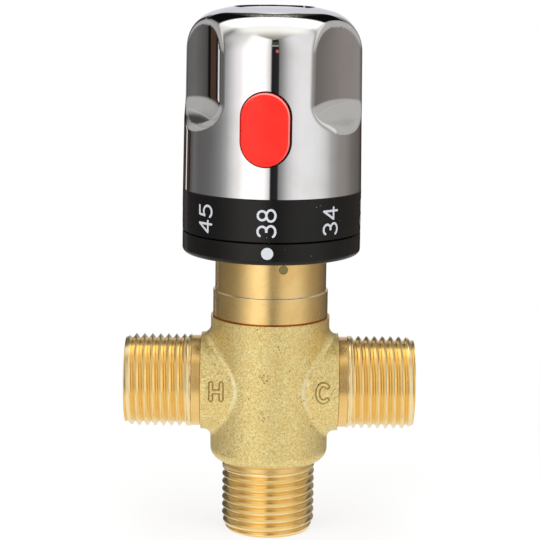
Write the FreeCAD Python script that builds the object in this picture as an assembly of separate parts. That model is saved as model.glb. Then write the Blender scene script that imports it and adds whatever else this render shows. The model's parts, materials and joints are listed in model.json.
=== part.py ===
import FreeCAD, Part

import os
from math import asin, cos, degrees, hypot, pi, radians, sin, sqrt

from FreeCAD import Vector

# A thermostatic mixing valve. Millimetres. The origin is the centre of the outlet's end face, +Z runs up
# the valve's axis, the front faces -Y, the hot inlet points to -X and the cold inlet to +X.

os.makedirs("parts", exist_ok=True)

# ---- Driving dimensions ----

# Clearances
slide_gap = 0.1         # pieces that slide in or over one another, each side
fit_gap = 0.05          # screwed, splined and pushed-in pieces, each side
seal_gap = 0.02         # rubber rings, to the walls that squeeze them
ring_gap = 0.25         # between the fixed and the turning black ring

# Cast body
outlet_reach = 34.0     # port axis to the outlet's end face
inlet_reach = 32.5      # valve axis to an inlet's end face
thread_r = 10.4775      # G1/2, major radius
thread_chamfer = 1.0
inlet_thread = 14.8     # threaded length
inlet_collar = 2.3
outlet_thread = 14.7
outlet_collar = 1.5
collar_r = 10.2
collar_step = 0.3       # length of the slope from a collar up to its thread
boss_r = 11.0
barrel_foot_r = 13.25
barrel_rim_r = 13.35
barrel_rise = 15.3      # port axis to the cast rim
foot_rounding = 2.6
boss_rounding = 1.8
neck_r = 12.62
neck_height = 5.0

# Bores
neck_bore_r = 11.4
main_bore_r = 10.9
tail_bore_r = 8.6
outlet_bore_r = 7.4
inlet_bore_r = 7.5
inlet_passage_r = 5.5
port_wall = 1.7         # left between an inlet's passage and the main bore
port_slot_width = 9.6

# Water ways of the cage, measured from the port axis
middle_land = 3.2       # between the hot and the cold ring of windows
window_band = 4.8
seat_height = 4.4       # port axis to either seat
annulus_depth = 1.5     # the water's way round the cage, cut into the lands
window_height = 2.2
window_width = 4.4
window_count = 6
bottom_land = 2.9
tail_length = 7.0
tail_wall = 1.6
seat_r = 6.0
seat_flange = 1.0       # thickness of the cold seat's flange
spider_height = 1.8
spider_arm = 1.6

# Shuttle and thermostat
shuttle_r = 7.4
shuttle_height = 5.2
shuttle_wall = 1.5
web_height = 3.0
web_hub_r = 4.2
web_arm = 2.2
bulb_r = 3.6
bulb_length = 12.5
flange_r = 4.7
flange_height = 1.4
sleeve_r = 2.6
sleeve_length = 8.6
rod_r = 1.0
rod_bore_depth = 4.0
rod_play = 1.0          # left under the rod in its bore
clip_height = 0.6

# Bonnet
bonnet_r = 12.45
bonnet_height = 9.7     # joint line to the stop ring's seat
bonnet_thread_length = 10.3
upper_neck_r = 7.5
upper_neck_height = 14.0
ring_spline_r = 10.5
ring_spline_height = 3.5
ring_spline_count = 12
pin_r = 0.85
pin_angle = -77.2
pin_drop = 2.2          # below the stop ring's seat
pin_length = 3.0

# Regulating nut and overload unit
nut_flats = 13.0
nut_length = 12.3
nut_lift = 1.2          # above the bonnet's foot
nut_rise = 0.5          # how far the nut climbs at the hottest setting
nut_cavity_r = 5.2
nut_cavity_depth = 6.8
nut_clip_lift = 0.3
nut_clip_height = 0.8
pusher_height = 1.7
pusher_rim = 1.0        # thickness of the pusher under its spring
rod_dimple = 0.5        # how far the wax rod stands in the pusher
nut_thread_r = 4.5

# Spindle
spindle_r = 4.0
spindle_collar_r = 7.0
spindle_collar_height = 2.5
washer_height = 0.5
spline_r = 3.9
spline_depth = 0.4
spline_count = 20
spline_length = 10.0
screw_r = 2.0
screw_length = 9.0
screw_head_r = 3.5
screw_head_height = 2.5
socket_flats = 2.5
socket_depth = 1.4
spindle_clip_r = 5.5

# Black rings
ring_r = 19.85
stop_ring_height = 4.7
stop_ring_floor = 1.5
ring_wall = 1.95
stop_ring_rounding = 1.0
ring_edge = 0.2         # bevel round the scale ring
scale_ring_height = 9.4
scale_sleeve_rise = 2.6
scale_sleeve_wall = 1.2
stop_tab_reach = 1.5
stop_tab_height = 3.0
hottest_turn = 90.0     # how far the knob turns each way from the 38 degree mark
coldest_turn = 180.0

# Knob
knob_foot_r = 19.86
knob_side_r = 19.42
knob_height = 40.65
knob_side_height = 31.0
knob_dome_r = 49.0
knob_shoulder_r = 9.0
knob_wall = 1.9
scoop_r = 62.7
scoop_centre = 78.9     # from the valve's axis
scoop_floor_rise = 13.85    # seam to the floor where it runs out of the side
scoop_floor_slope = 50.6
scoop_fillet = 1.2
land_rounding = 0.5
post_r = 7.5
well_r = 6.0
post_lift = 11.1        # knob's foot up to the post's web
web_thickness = 2.0
rib_thickness = 1.4
cap_r = 8.8
cap_thickness = 1.2
cap_recess = 0.5

# Release button
button_width = 10.8
button_height = 15.9
button_rise = 14.9      # seam to the button's centre
button_proud = 0.4
button_wall = 1.5
button_edge = 0.4
guide_wall = 1.2
guide_depth = 15.3      # valve axis to the guide's inner end
slide_thickness = 1.4
slide_overlap = 1.0
finger_width = 5.0
finger_foot = 0.6

# Check valve and strainer, in each inlet
mouth_depth = 5.4
strainer_thickness = 0.6
strainer_hole = 1.3
strainer_pitch = 1.9
check_length = 8.5
check_wall = 1.6
check_seat_thickness = 1.2
check_seat_r = 4.0
poppet_r = 4.9
poppet_thickness = 1.2
stem_r = 1.1
check_hub_r = 2.3
check_arm = 1.4
check_spider_thickness = 1.5
check_ring_wire = 0.6
check_ring_drop = 2.4   # seat to the middle of the rubber ring

# Rubber rings, radius of the section
cage_ring_wire = 0.78
bonnet_ring_wire = 0.72
shuttle_ring_wire = 0.5
spindle_ring_wire = 0.6

# Springs, radius of the wire and number of turns
return_wire = 0.4
return_turns = 5
overload_wire = 0.45
overload_turns = 3
button_wire = 0.3
button_turns = 4
check_wire = 0.25
check_turns = 4

# How the turned pieces stand, degrees about the valve's axis from straight ahead
knob_angle = -4.5
scale_angle = -3.2
stop_ring_angle = -2.5

# ---- Heights that follow ----

port_z = outlet_reach
foot_z = outlet_thread + outlet_collar
rim_z = port_z + barrel_rise
joint_z = rim_z + neck_height
bonnet_foot_z = joint_z - bonnet_thread_length
bonnet_ring_z = bonnet_foot_z + 2.0
ring_seat_z = joint_z + bonnet_height
bonnet_top_z = ring_seat_z + upper_neck_height

hot_floor_z = port_z - middle_land / 2 - window_band
cold_roof_z = port_z + middle_land / 2 + window_band
tail_top_z = hot_floor_z - bottom_land
tail_foot_z = tail_top_z - tail_length
hot_seat_z = port_z - seat_height
cold_seat_z = port_z + seat_height
seat_flange_z = bonnet_foot_z - seat_flange

hub_foot_z = port_z - web_height / 2
hub_top_z = port_z + web_height / 2
flange_foot_z = hub_foot_z - flange_height
rod_bore_z = hub_foot_z + sleeve_length - rod_bore_depth

nut_z = bonnet_foot_z + nut_lift
cavity_roof_z = nut_z + nut_cavity_depth
nut_clip_z = nut_z + nut_clip_lift
pusher_z = nut_clip_z + nut_clip_height
pusher_rim_z = pusher_z + pusher_rim
rod_top_z = pusher_z + rod_dimple
nut_top_z = nut_z + nut_length
broach_top_z = nut_top_z + nut_rise + 3 * slide_gap
spindle_foot_z = cavity_roof_z + nut_rise + slide_gap
collar_z = broach_top_z + 7 * slide_gap
washer_z = collar_z + spindle_collar_height
shoulder_z = washer_z + washer_height

stop_ring_top_z = ring_seat_z + stop_ring_height
scale_ring_z = stop_ring_top_z + ring_gap
seam_z = scale_ring_z + scale_ring_height
knob_top_z = seam_z + knob_height
web_z = seam_z + post_lift
web_top_z = web_z + web_thickness
button_z = seam_z + button_rise
cap_z = knob_top_z - knob_dome_r + sqrt(knob_dome_r ** 2 - cap_r ** 2) - cap_recess - cap_thickness

# ---- Radii that follow ----

thread_end_r = thread_r - thread_chamfer
bonnet_male_r = neck_bore_r - fit_gap
land_r = main_bore_r - slide_gap
annulus_r = main_bore_r - annulus_depth
cage_bore_r = shuttle_r + slide_gap
tail_r = tail_bore_r - slide_gap
broach_flats = nut_flats + 2 * slide_gap
relief_r = nut_flats / sqrt(3) + 3 * slide_gap
spindle_bore_r = spindle_r + fit_gap
clip_root_r = spindle_r - 0.5
rim_bore_r = ring_r - ring_wall
sleeve_outer_r = knob_foot_r - knob_wall - fit_gap
scale_bore_r = sleeve_outer_r - scale_sleeve_wall
check_bore_r = inlet_bore_r - slide_gap - check_wall
check_depth = mouth_depth + strainer_thickness


# ---- Shapes that come back ----

def turned(*points):
    """The solid that an outline of (radius, height) points sweeps about the Z axis."""
    corners = [Vector(r, 0, z) for r, z in points]
    face = Part.Face(Part.makePolygon(corners + corners[:1]))
    return face.revolve(Vector(0, 0, 0), Vector(0, 0, 1), 360)


def rod(radius, z0, z1):
    return Part.makeCylinder(radius, z1 - z0, Vector(0, 0, z0))


def tube(outer, inner, z0, z1):
    return rod(outer, z0, z1).cut(rod(inner, z0, z1))


def block(x0, x1, y0, y1, z0, z1):
    return Part.makeBox(x1 - x0, y1 - y0, z1 - z0, Vector(x0, y0, z0))


def turn_about_z(shape, angle):
    """A copy turned about the valve's axis."""
    copy = shape.copy()
    copy.rotate(Vector(0, 0, 0), Vector(0, 0, 1), angle)
    return copy


def around(shape, count, first=0.0):
    """The same piece repeated evenly about the Z axis."""
    return [turn_about_z(shape, first + 360.0 * i / count) for i in range(count)]


def fused(*shapes):
    return shapes[0].fuse(list(shapes[1:])).removeSplitter()


def rounded(shape, radius, wanted):
    """Fillets the edges that wanted() picks out."""
    real_edges = [edge for edge in shape.Edges if not edge.Degenerated]
    return shape.makeFillet(radius, [edge for edge in real_edges if wanted(edge)])


def rim(radius, z):
    """Picks the circle of that radius about the Z axis at height z."""
    def wanted(edge):
        curve = edge.Curve
        return (isinstance(curve, Part.Circle) and abs(curve.Radius - radius) < 1e-4
                and abs(curve.Center.z - z) < 1e-4)
    return wanted


def rubber_ring(wire, outer_r, z):
    """An O-ring whose outside just clears a bore of outer_r."""
    return Part.makeTorus(outer_r - seal_gap - wire, wire, Vector(0, 0, z))


def groove(wire, outer_r, z):
    """The cutter for an outside groove that holds rubber_ring(wire, outer_r, z)."""
    half = wire + slide_gap
    return tube(outer_r + 1, outer_r - seal_gap - 2 * wire - seal_gap, z - half, z + half)


def hexagon(flats, z0, z1):
    corner = flats / sqrt(3)
    points = [Vector(corner * cos(i * pi / 3), corner * sin(i * pi / 3), z0) for i in range(7)]
    return Part.Face(Part.makePolygon(points)).extrude(Vector(0, 0, z1 - z0))


def serrated(radius, z0, z1):
    """A rod with the knob's fine straight splines."""
    points = []
    for i in range(2 * spline_count):
        r = radius - spline_depth * (i % 2)
        angle = i * pi / spline_count
        points.append(Vector(r * cos(angle), r * sin(angle), z0))
    return Part.Face(Part.makePolygon(points + points[:1])).extrude(Vector(0, 0, z1 - z0))


def obround(width, height, y0, y1):
    """An upright slot shape about the button's centre, from y0 back to y1."""
    r, straight = width / 2, (height - width) / 2
    low, high = button_z - straight, button_z + straight
    edges = [
        Part.LineSegment(Vector(r, y0, low), Vector(r, y0, high)).toShape(),
        Part.Arc(Vector(r, y0, high), Vector(0, y0, high + r), Vector(-r, y0, high)).toShape(),
        Part.LineSegment(Vector(-r, y0, high), Vector(-r, y0, low)).toShape(),
        Part.Arc(Vector(-r, y0, low), Vector(0, y0, low - r), Vector(r, y0, low)).toShape(),
    ]
    return Part.Face(Part.Wire(edges)).extrude(Vector(0, y1 - y0, 0))


def coil(mean_r, wire_r, length, turns):
    """A coil spring standing on z = 0. Its wire has eight flats and runs in short straight lengths."""
    lengths_per_turn, flats = 16, 8
    count = turns * lengths_per_turn
    points = []
    for i in range(count + 1):
        angle = 2 * pi * i / lengths_per_turn
        rise = wire_r + (length - 2 * wire_r) * i / count
        points.append(Vector(mean_r * cos(angle), mean_r * sin(angle), rise))
    along = (points[1] - points[0]).normalize()
    across = Vector(0, 0, 1).cross(along).normalize()
    up = along.cross(across)
    ring = []
    for i in range(flats + 1):
        angle = 2 * pi * (i + 0.5) / flats
        ring.append(points[0] + across * (wire_r * cos(angle)) + up * (wire_r * sin(angle)))
    path = Part.makePolygon(points)
    make_solid, frenet, mitred_corners = True, True, 1
    return path.makePipeShell([Part.makePolygon(ring)], make_solid, frenet, mitred_corners)


def to_inlet(shape, side):
    """Lays a piece built up the Z axis along an inlet: z becomes the distance from the valve's axis."""
    copy = shape.copy()
    copy.rotate(Vector(0, 0, 0), Vector(0, 1, 0), 90 * side)
    copy.translate(Vector(0, 0, port_z))
    return copy


# ---- Body ----

def threaded_end(collar, thread):
    """The outside of a port, from its collar's root at z = 0 to its end face."""
    end = collar + thread
    return turned((0, 0), (collar_r, 0), (collar_r, collar - collar_step), (thread_r, collar),
                  (thread_r, end - thread_chamfer), (thread_end_r, end), (0, end))


def inlet_cutters(side):
    """An inlet's bore, its passage and the slot that joins it to its own ring of windows."""
    shoulder = inlet_reach - check_depth - check_length
    passage_end = main_bore_r + port_wall
    bore = rod(inlet_bore_r, shoulder, inlet_reach)
    passage = rod(inlet_passage_r, passage_end, shoulder)
    low = port_z + middle_land / 2 if side > 0 else hot_floor_z
    slot_x = sorted([side * (main_bore_r - 2), side * (passage_end + 0.5)])
    slot = block(slot_x[0], slot_x[1], -port_slot_width / 2, port_slot_width / 2, low, low + window_band)
    return [to_inlet(bore, side), to_inlet(passage, side), slot]


def make_body():
    """The casting: barrel, two bosses, three threaded ends and the neck, bored through from each end."""
    boss_reach = inlet_reach - inlet_thread - inlet_collar
    barrel = turned((0, foot_z), (barrel_foot_r, foot_z), (barrel_rim_r, rim_z), (0, rim_z))
    barrel = rounded(barrel, foot_rounding, rim(barrel_foot_r, foot_z))
    bosses = Part.makeCylinder(boss_r, 2 * boss_reach, Vector(-boss_reach, 0, port_z), Vector(1, 0, 0))
    cast = fused(barrel, bosses)

    def where_boss_meets_barrel(edge):
        box = edge.BoundBox
        return box.YLength > boss_r and 1.0 < box.XLength and box.ZLength > boss_r

    cast = rounded(cast, boss_rounding, where_boss_meets_barrel)
    outlet = threaded_end(outlet_collar, outlet_thread)
    outlet.rotate(Vector(0, 0, 0), Vector(1, 0, 0), 180)
    outlet.translate(Vector(0, 0, foot_z))
    inlet = threaded_end(inlet_collar, inlet_thread)
    inlet.translate(Vector(0, 0, boss_reach))
    neck = rod(neck_r, rim_z, joint_z)
    outside = fused(cast, outlet, to_inlet(inlet, -1), to_inlet(inlet, 1), neck)
    bores = [
        rod(neck_bore_r, bonnet_foot_z, joint_z),
        rod(main_bore_r, tail_top_z - slide_gap, bonnet_foot_z),
        rod(tail_bore_r, tail_foot_z - slide_gap, tail_top_z),
        rod(outlet_bore_r, 0, tail_foot_z),
    ]
    return outside.cut(bores + inlet_cutters(-1) + inlet_cutters(1))


# ---- Cage, seats, shuttle and thermostat ----

def cage_ring_heights():
    """The middles of the three lands."""
    return [hot_floor_z - bottom_land / 2, port_z, cold_roof_z + 1.6]


def spider(outer_r, hub_r, bore_r, arm, z0, z1, count=3):
    """A ring, a bored hub and the arms between them, open for the water."""
    wall = tube(outer_r, outer_r - tail_wall, z0, z1)
    arms = around(block(0, outer_r - tail_wall / 2, -arm / 2, arm / 2, z0, z1), count, 90)
    return fused(wall, rod(hub_r, z0, z1), *arms).cut(rod(bore_r, z0, z1))


def make_cage():
    """The lands, the two rings of windows between them, and the tail with its spider."""
    half_land = middle_land / 2
    outside = turned(
        (0, tail_foot_z), (tail_r, tail_foot_z), (tail_r, tail_top_z), (land_r, tail_top_z),
        (land_r, hot_floor_z), (annulus_r, hot_floor_z), (annulus_r, port_z - half_land),
        (land_r, port_z - half_land), (land_r, port_z + half_land), (annulus_r, port_z + half_land),
        (annulus_r, cold_roof_z), (land_r, cold_roof_z), (land_r, bonnet_foot_z), (0, bonnet_foot_z))
    inside = [
        rod(tail_r - tail_wall, tail_foot_z, hot_floor_z),
        rod(seat_r, hot_floor_z, hot_seat_z),
        rod(cage_bore_r, hot_seat_z, bonnet_foot_z),
        rod(annulus_r + fit_gap, seat_flange_z, bonnet_foot_z),
    ]
    windows = []
    for z in (hot_seat_z, cold_seat_z - window_height):
        window = block(0, annulus_r + 1, -window_width / 2, window_width / 2, z, z + window_height)
        windows += around(window, window_count, 30)
    grooves = [groove(cage_ring_wire, main_bore_r, z) for z in cage_ring_heights()]
    legs = spider(tail_r, bulb_r + slide_gap + 1.3, bulb_r + slide_gap, spider_arm, tail_foot_z,
                  tail_foot_z + spider_height)
    return fused(outside.cut(inside + windows + grooves), legs)


def make_cold_seat():
    """The flanged ring in the top of the cage; its lower end is the seat for the cold side."""
    return turned((seat_r, cold_seat_z), (cage_bore_r - fit_gap, cold_seat_z),
                  (cage_bore_r - fit_gap, seat_flange_z), (annulus_r, seat_flange_z),
                  (annulus_r, bonnet_foot_z), (seat_r + 0.8, bonnet_foot_z),
                  (seat_r + 0.8, cold_seat_z + 1.4), (seat_r, cold_seat_z + 0.6))


def make_shuttle():
    """The metering ring, with a web of four arms that rides on the thermostat's sleeve."""
    z0, z1 = port_z - shuttle_height / 2, port_z + shuttle_height / 2
    inner_r = shuttle_r - shuttle_wall
    wall = tube(shuttle_r, inner_r, z0, z1).cut(groove(shuttle_ring_wire, cage_bore_r, port_z))
    arms = around(block(0, inner_r + 0.3, -web_arm / 2, web_arm / 2, hub_foot_z, hub_top_z), 4, 45)
    return fused(wall, rod(web_hub_r, hub_foot_z, hub_top_z), *arms).cut(rod(sleeve_r + fit_gap, z0, z1))


def make_wax_element():
    """The brass bulb that holds the wax, its flange under the shuttle's hub, and the rod's sleeve."""
    sleeve_top_z = hub_foot_z + sleeve_length
    bulb_foot_z = flange_foot_z - bulb_length
    bulb = turned((0, bulb_foot_z), (bulb_r - 0.8, bulb_foot_z), (bulb_r, bulb_foot_z + 0.8),
                  (bulb_r, flange_foot_z), (flange_r, flange_foot_z), (flange_r, hub_foot_z),
                  (sleeve_r, hub_foot_z), (sleeve_r, sleeve_top_z - 0.4), (sleeve_r - 0.4, sleeve_top_z),
                  (0, sleeve_top_z))
    return bulb.cut(rod(rod_r + fit_gap, rod_bore_z, sleeve_top_z))


def make_return_spring():
    """Between the cage's spider and the thermostat's flange."""
    z0 = tail_foot_z + spider_height
    spring = coil(bulb_r + slide_gap + return_wire + 0.2, return_wire, flange_foot_z - z0, return_turns)
    spring.translate(Vector(0, 0, z0))
    return spring


# ---- Bonnet, nut and spindle ----

def ring_spline_teeth(r, z0, z1, extra=0.0):
    """The straight teeth that key the stop ring to the bonnet."""
    half = 0.8 + extra
    tooth = block(0, r + 0.6 + extra, -half, half, z0, z1)
    return around(tooth, ring_spline_count)


def make_bonnet():
    """Screwed into the neck. Its hexagon keeps the nut from turning, and its teeth carry the stop ring."""
    spline_top_z = ring_seat_z + ring_spline_height
    outside = turned(
        (0, bonnet_foot_z), (bonnet_male_r - 0.6, bonnet_foot_z), (bonnet_male_r, bonnet_foot_z + 0.6),
        (bonnet_male_r, joint_z), (bonnet_r - 0.25, joint_z), (bonnet_r, joint_z + 0.25),
        (bonnet_r, ring_seat_z), (ring_spline_r, ring_seat_z), (ring_spline_r, spline_top_z),
        (upper_neck_r, spline_top_z), (upper_neck_r, bonnet_top_z - 0.5),
        (upper_neck_r - 0.5, bonnet_top_z), (0, bonnet_top_z))
    teeth = ring_spline_teeth(ring_spline_r, ring_seat_z, spline_top_z)
    pin_hole = rod(pin_r, bonnet_r - pin_length, bonnet_r + 1)
    pin_hole.rotate(Vector(0, 0, 0), Vector(0, 1, 0), 90)
    pin_hole.translate(Vector(0, 0, ring_seat_z - pin_drop))
    cutters = [
        hexagon(broach_flats, bonnet_foot_z, broach_top_z),
        rod(relief_r, broach_top_z, shoulder_z),
        rod(spindle_bore_r, shoulder_z, bonnet_top_z),
        groove(bonnet_ring_wire, neck_bore_r, bonnet_ring_z),
        turn_about_z(pin_hole, pin_angle),
    ]
    return fused(outside, *teeth).cut(cutters)


def make_locating_pin():
    """Set in the bonnet, its end just under the turned face."""
    pin = rod(pin_r, bonnet_r - pin_length, bonnet_r - fit_gap)
    pin.rotate(Vector(0, 0, 0), Vector(0, 1, 0), 90)
    pin.translate(Vector(0, 0, ring_seat_z - pin_drop))
    return turn_about_z(pin, pin_angle)


def make_nut():
    """Kept from turning by the bonnet's hexagon and raised or lowered by the spindle's thread."""
    flat_r, corner_r = nut_flats / 2, nut_flats / sqrt(3)
    bevelled = turned((0, nut_z), (flat_r, nut_z), (corner_r, nut_z + 0.6),
                      (corner_r, nut_top_z - 0.6), (flat_r, nut_top_z), (0, nut_top_z))
    body = hexagon(nut_flats, nut_z, nut_top_z).common(bevelled)
    clip_groove = rod(nut_cavity_r + 0.4, nut_clip_z - fit_gap, nut_clip_z + nut_clip_height)
    return body.cut([rod(nut_cavity_r, nut_z, cavity_roof_z), rod(nut_thread_r, cavity_roof_z, nut_top_z),
                     clip_groove])


def open_ring(outer_r, inner_r, z0, z1, gap_width):
    """A spring clip: a flat ring with a gap at its front."""
    return tube(outer_r, inner_r, z0, z1).cut(block(-gap_width / 2, gap_width / 2, -outer_r - 1, 0, z0, z1))


def make_pusher():
    """The disc that the wax rod bears on, with the dimple that keeps the rod central."""
    top_z = pusher_z + pusher_height
    rim_r = nut_cavity_r - slide_gap
    guide_r = rim_r - slide_gap - 2 * overload_wire - 0.2
    disc = turned((0, pusher_z), (rim_r, pusher_z), (rim_r, pusher_rim_z),
                  (guide_r, pusher_rim_z), (guide_r - 0.4, top_z), (0, top_z))
    return disc.cut(rod(rod_r + fit_gap, pusher_z, rod_top_z))


def make_overload_spring():
    """Gives way when the wax pushes on after the shuttle has closed the hot side."""
    mean_r = nut_cavity_r - slide_gap - overload_wire - 0.1
    spring = coil(mean_r, overload_wire, cavity_roof_z - pusher_rim_z, overload_turns)
    spring.translate(Vector(0, 0, pusher_rim_z))
    return spring


def spindle_ring_heights():
    """The middles of the two rings that seal the spindle in the bonnet."""
    return [shoulder_z + 3.0, shoulder_z + 6.0]


def make_spindle():
    """Left-hand threaded foot, collar, ground stem with two grooves, and the splined head."""
    foot_r = nut_thread_r - fit_gap
    spline_z = web_z - spline_length
    clip_foot_z = bonnet_top_z + slide_gap
    clip_top_z = clip_foot_z + clip_height + fit_gap
    blank = turned(
        (0, spindle_foot_z), (foot_r - 0.5, spindle_foot_z), (foot_r, spindle_foot_z + 0.5),
        (foot_r, collar_z), (spindle_collar_r, collar_z), (spindle_collar_r, washer_z),
        (spindle_r, washer_z), (spindle_r, clip_foot_z), (clip_root_r, clip_foot_z),
        (clip_root_r, clip_top_z), (spindle_r, clip_top_z), (spindle_r, spline_z - 0.2),
        (spline_r - spline_depth, spline_z), (0, spline_z))
    grooves = [groove(spindle_ring_wire, spindle_bore_r, z) for z in spindle_ring_heights()]
    screw_hole = rod(screw_r + fit_gap, web_z - screw_length, web_z)
    return fused(blank.cut(grooves), serrated(spline_r, spline_z, web_z)).cut(screw_hole)


# ---- Black rings ----

def arc_block(inner_r, outer_r, from_angle, to_angle, z0, z1):
    """Part of a ring between two angles, counted from straight ahead."""
    face = Part.makePolygon([Vector(inner_r, 0, z0), Vector(outer_r, 0, z0), Vector(outer_r, 0, z1),
                             Vector(inner_r, 0, z1), Vector(inner_r, 0, z0)])
    piece = Part.Face(face).revolve(Vector(0, 0, 0), Vector(0, 0, 1), to_angle - from_angle)
    return turn_about_z(piece, from_angle - 90)


def make_stop_ring():
    """Splined to the bonnet. Inside are the tab of the 38 degree stop and the block that ends the travel."""
    floor_z = ring_seat_z + stop_ring_floor
    shell = turned((0, ring_seat_z), (ring_r, ring_seat_z), (ring_r, stop_ring_top_z),
                   (rim_bore_r, stop_ring_top_z), (rim_bore_r, floor_z), (0, floor_z))
    shell = rounded(shell, stop_ring_rounding, rim(ring_r, ring_seat_z))
    low, high = floor_z - 0.2, floor_z + stop_tab_height
    tab = arc_block(rim_bore_r - stop_tab_reach, rim_bore_r + 0.2, 10, 18, low, high)
    block_r = ring_spline_r + 1.0
    half_finger = degrees(asin(finger_width / 2 / block_r)) + 0.5
    travel_block = arc_block(block_r, guide_depth + finger_foot, hottest_turn + knob_angle + half_finger,
                             360 - coldest_turn + knob_angle - half_finger, low, high)
    bore = fused(rod(ring_spline_r + fit_gap, ring_seat_z, floor_z),
                 *ring_spline_teeth(ring_spline_r, ring_seat_z, floor_z, fit_gap))
    ring = fused(shell, turn_about_z(tab, -stop_ring_angle), turn_about_z(travel_block, -stop_ring_angle))
    return turn_about_z(ring, stop_ring_angle).cut(bore)


def make_scale_ring():
    """The numbered ring, with the sleeve that the knob is pushed over."""
    sleeve_top_z = seam_z + scale_sleeve_rise
    edge_r = ring_r - ring_edge
    ring = turned((scale_bore_r, scale_ring_z), (edge_r, scale_ring_z), (ring_r, scale_ring_z + ring_edge),
                  (ring_r, seam_z - ring_edge), (edge_r, seam_z), (sleeve_outer_r, seam_z),
                  (sleeve_outer_r, sleeve_top_z - 0.4), (sleeve_outer_r - 0.4, sleeve_top_z),
                  (scale_bore_r, sleeve_top_z))
    return turn_about_z(ring, scale_angle)


# ---- Knob ----

def knob_outline(inset):
    """The knob without its scoops: tapered side, round shoulder, shallow dome. inset shrinks it all round."""
    side_z = seam_z + knob_side_height
    dome_r = knob_dome_r - inset
    centre_z = knob_top_z - knob_dome_r
    side_r = knob_side_r - inset
    edge_z = centre_z + sqrt(dome_r ** 2 - side_r ** 2)
    half = side_r / 2
    crown = Part.Arc(Vector(side_r, 0, edge_z), Vector(half, 0, centre_z + sqrt(dome_r ** 2 - half ** 2)),
                     Vector(0, 0, centre_z + dome_r)).toShape()
    foot_r = knob_foot_r - inset
    corners = [Vector(0, 0, centre_z + dome_r), Vector(0, 0, seam_z), Vector(foot_r, 0, seam_z),
               Vector(side_r, 0, side_z), Vector(side_r, 0, edge_z)]
    face = Part.Face(Part.Wire(Part.makePolygon(corners).Edges + [crown]))
    solid = face.revolve(Vector(0, 0, 0), Vector(0, 0, 1), 360)
    return rounded(solid, knob_shoulder_r - inset, rim(side_r, edge_z))


def scoop(inset):
    """The cutter for one finger scoop, on the +X side: a wide upright hollow with a sloping floor."""
    hollow = rod(scoop_r + inset, seam_z - knob_height, seam_z + 2 * knob_height)
    hollow.translate(Vector(scoop_centre, 0, 0))
    slope = radians(scoop_floor_slope)
    floor = block(-100, 100, -100, 100, -200, 0)
    floor.rotate(Vector(0, 0, 0), Vector(0, 1, 0), scoop_floor_slope)
    floor.translate(Vector(knob_foot_r, 0, seam_z + scoop_floor_rise))
    floor.translate(Vector(-inset * sin(slope), 0, -inset * cos(slope)))
    cutter = hollow.cut(floor)

    def where_floor_meets_hollow(edge):
        box = edge.BoundBox
        nearest = scoop_centre - scoop_r - inset
        return abs(box.XMin - nearest) < 0.5 and box.YLength > knob_foot_r

    return rounded(cutter, scoop_fillet + inset / 2, where_floor_meets_hollow)


def scooped(solid, inset):
    """The solid less its three scoops, one at the back and one on each side of the button."""
    return solid.cut([turn_about_z(scoop(inset), angle) for angle in (-30, 90, 210)])


def make_knob_shell():
    """The shell, the post that takes the spindle and the screw, its ribs, and the guide for the button."""
    outside = scooped(knob_outline(0), 0)
    outside = rounded(outside, land_rounding, beside_a_scoop)
    inside = scooped(knob_outline(knob_wall), knob_wall)
    post = tube(post_r, spindle_r, web_z - spline_length + 0.6, knob_top_z).common(outside)
    rib = block(post_r - 0.5, knob_side_r, -rib_thickness / 2, rib_thickness / 2, web_z - 4, knob_top_z)
    ribs = [turn_about_z(rib, angle).common(inside) for angle in (-30, 30, 90, 150, 210)]
    guide_back = -guide_depth
    clear = 2 * slide_gap
    guide = obround(button_width + clear + 2 * guide_wall, button_height + clear + 2 * guide_wall,
                    -knob_foot_r, guide_back).common(outside)
    shell = fused(outside.cut(inside), post, guide, *ribs)
    cutters = [
        obround(button_width + clear, button_height + clear, -2 * knob_foot_r, guide_back),
        rod(cap_r + fit_gap, cap_z, 2 * knob_top_z),
        rod(well_r, web_top_z, cap_z),
        rod(screw_r + 2 * slide_gap, web_z, web_top_z),
        serrated(spline_r + fit_gap, web_z - spline_length, web_z),
    ]
    return shell.cut(cutters)


def beside_a_scoop(edge):
    """The long edges where a scoop runs out into the knob's side."""
    box = edge.BoundBox
    top = Vector((box.XMin + box.XMax) / 2, (box.YMin + box.YMax) / 2, 0).Length
    return box.ZLength > knob_height / 5 and top > scoop_centre - scoop_r + 0.6


def make_top_cap():
    """The disc let into the dome over the screw, with the plug that holds it."""
    disc_top_z = cap_z + cap_thickness
    plug_r = well_r - fit_gap
    return turned((0, cap_z), (plug_r - 1.1, cap_z), (plug_r - 1.1, cap_z - 3), (plug_r - 0.3, cap_z - 3),
                  (plug_r, cap_z - 2.5), (plug_r, cap_z), (cap_r, cap_z), (cap_r, disc_top_z - 0.25),
                  (cap_r - 0.25, disc_top_z), (0, disc_top_z))


def make_knob_screw():
    """Pan head with a hexagon socket, through the knob's web into the spindle."""
    tip_z = web_z - screw_length + 1
    head_top_z = web_top_z + screw_head_height
    blank = turned((0, tip_z), (screw_r, tip_z), (screw_r, web_top_z), (screw_head_r, web_top_z),
                   (screw_head_r, head_top_z - 0.6), (screw_head_r - 0.6, head_top_z), (0, head_top_z))
    return blank.cut(hexagon(socket_flats, head_top_z - socket_depth, head_top_z))


# ---- Button ----

def make_button():
    """The red push button: a thin-walled cap whose face follows the knob."""
    face_r = knob_foot_r - 0.2 + button_proud
    body = obround(button_width, button_height, -face_r - 1, -guide_depth)
    body = body.common(rod(face_r, seam_z, knob_top_z))
    body = rounded(body, button_edge, lambda edge: edge.BoundBox.YMax < -guide_depth - 2.5)
    pocket = obround(button_width - 2 * button_wall, button_height - 2 * button_wall,
                     -face_r + button_wall + 1, -guide_depth)
    return body.cut(pocket)


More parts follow.
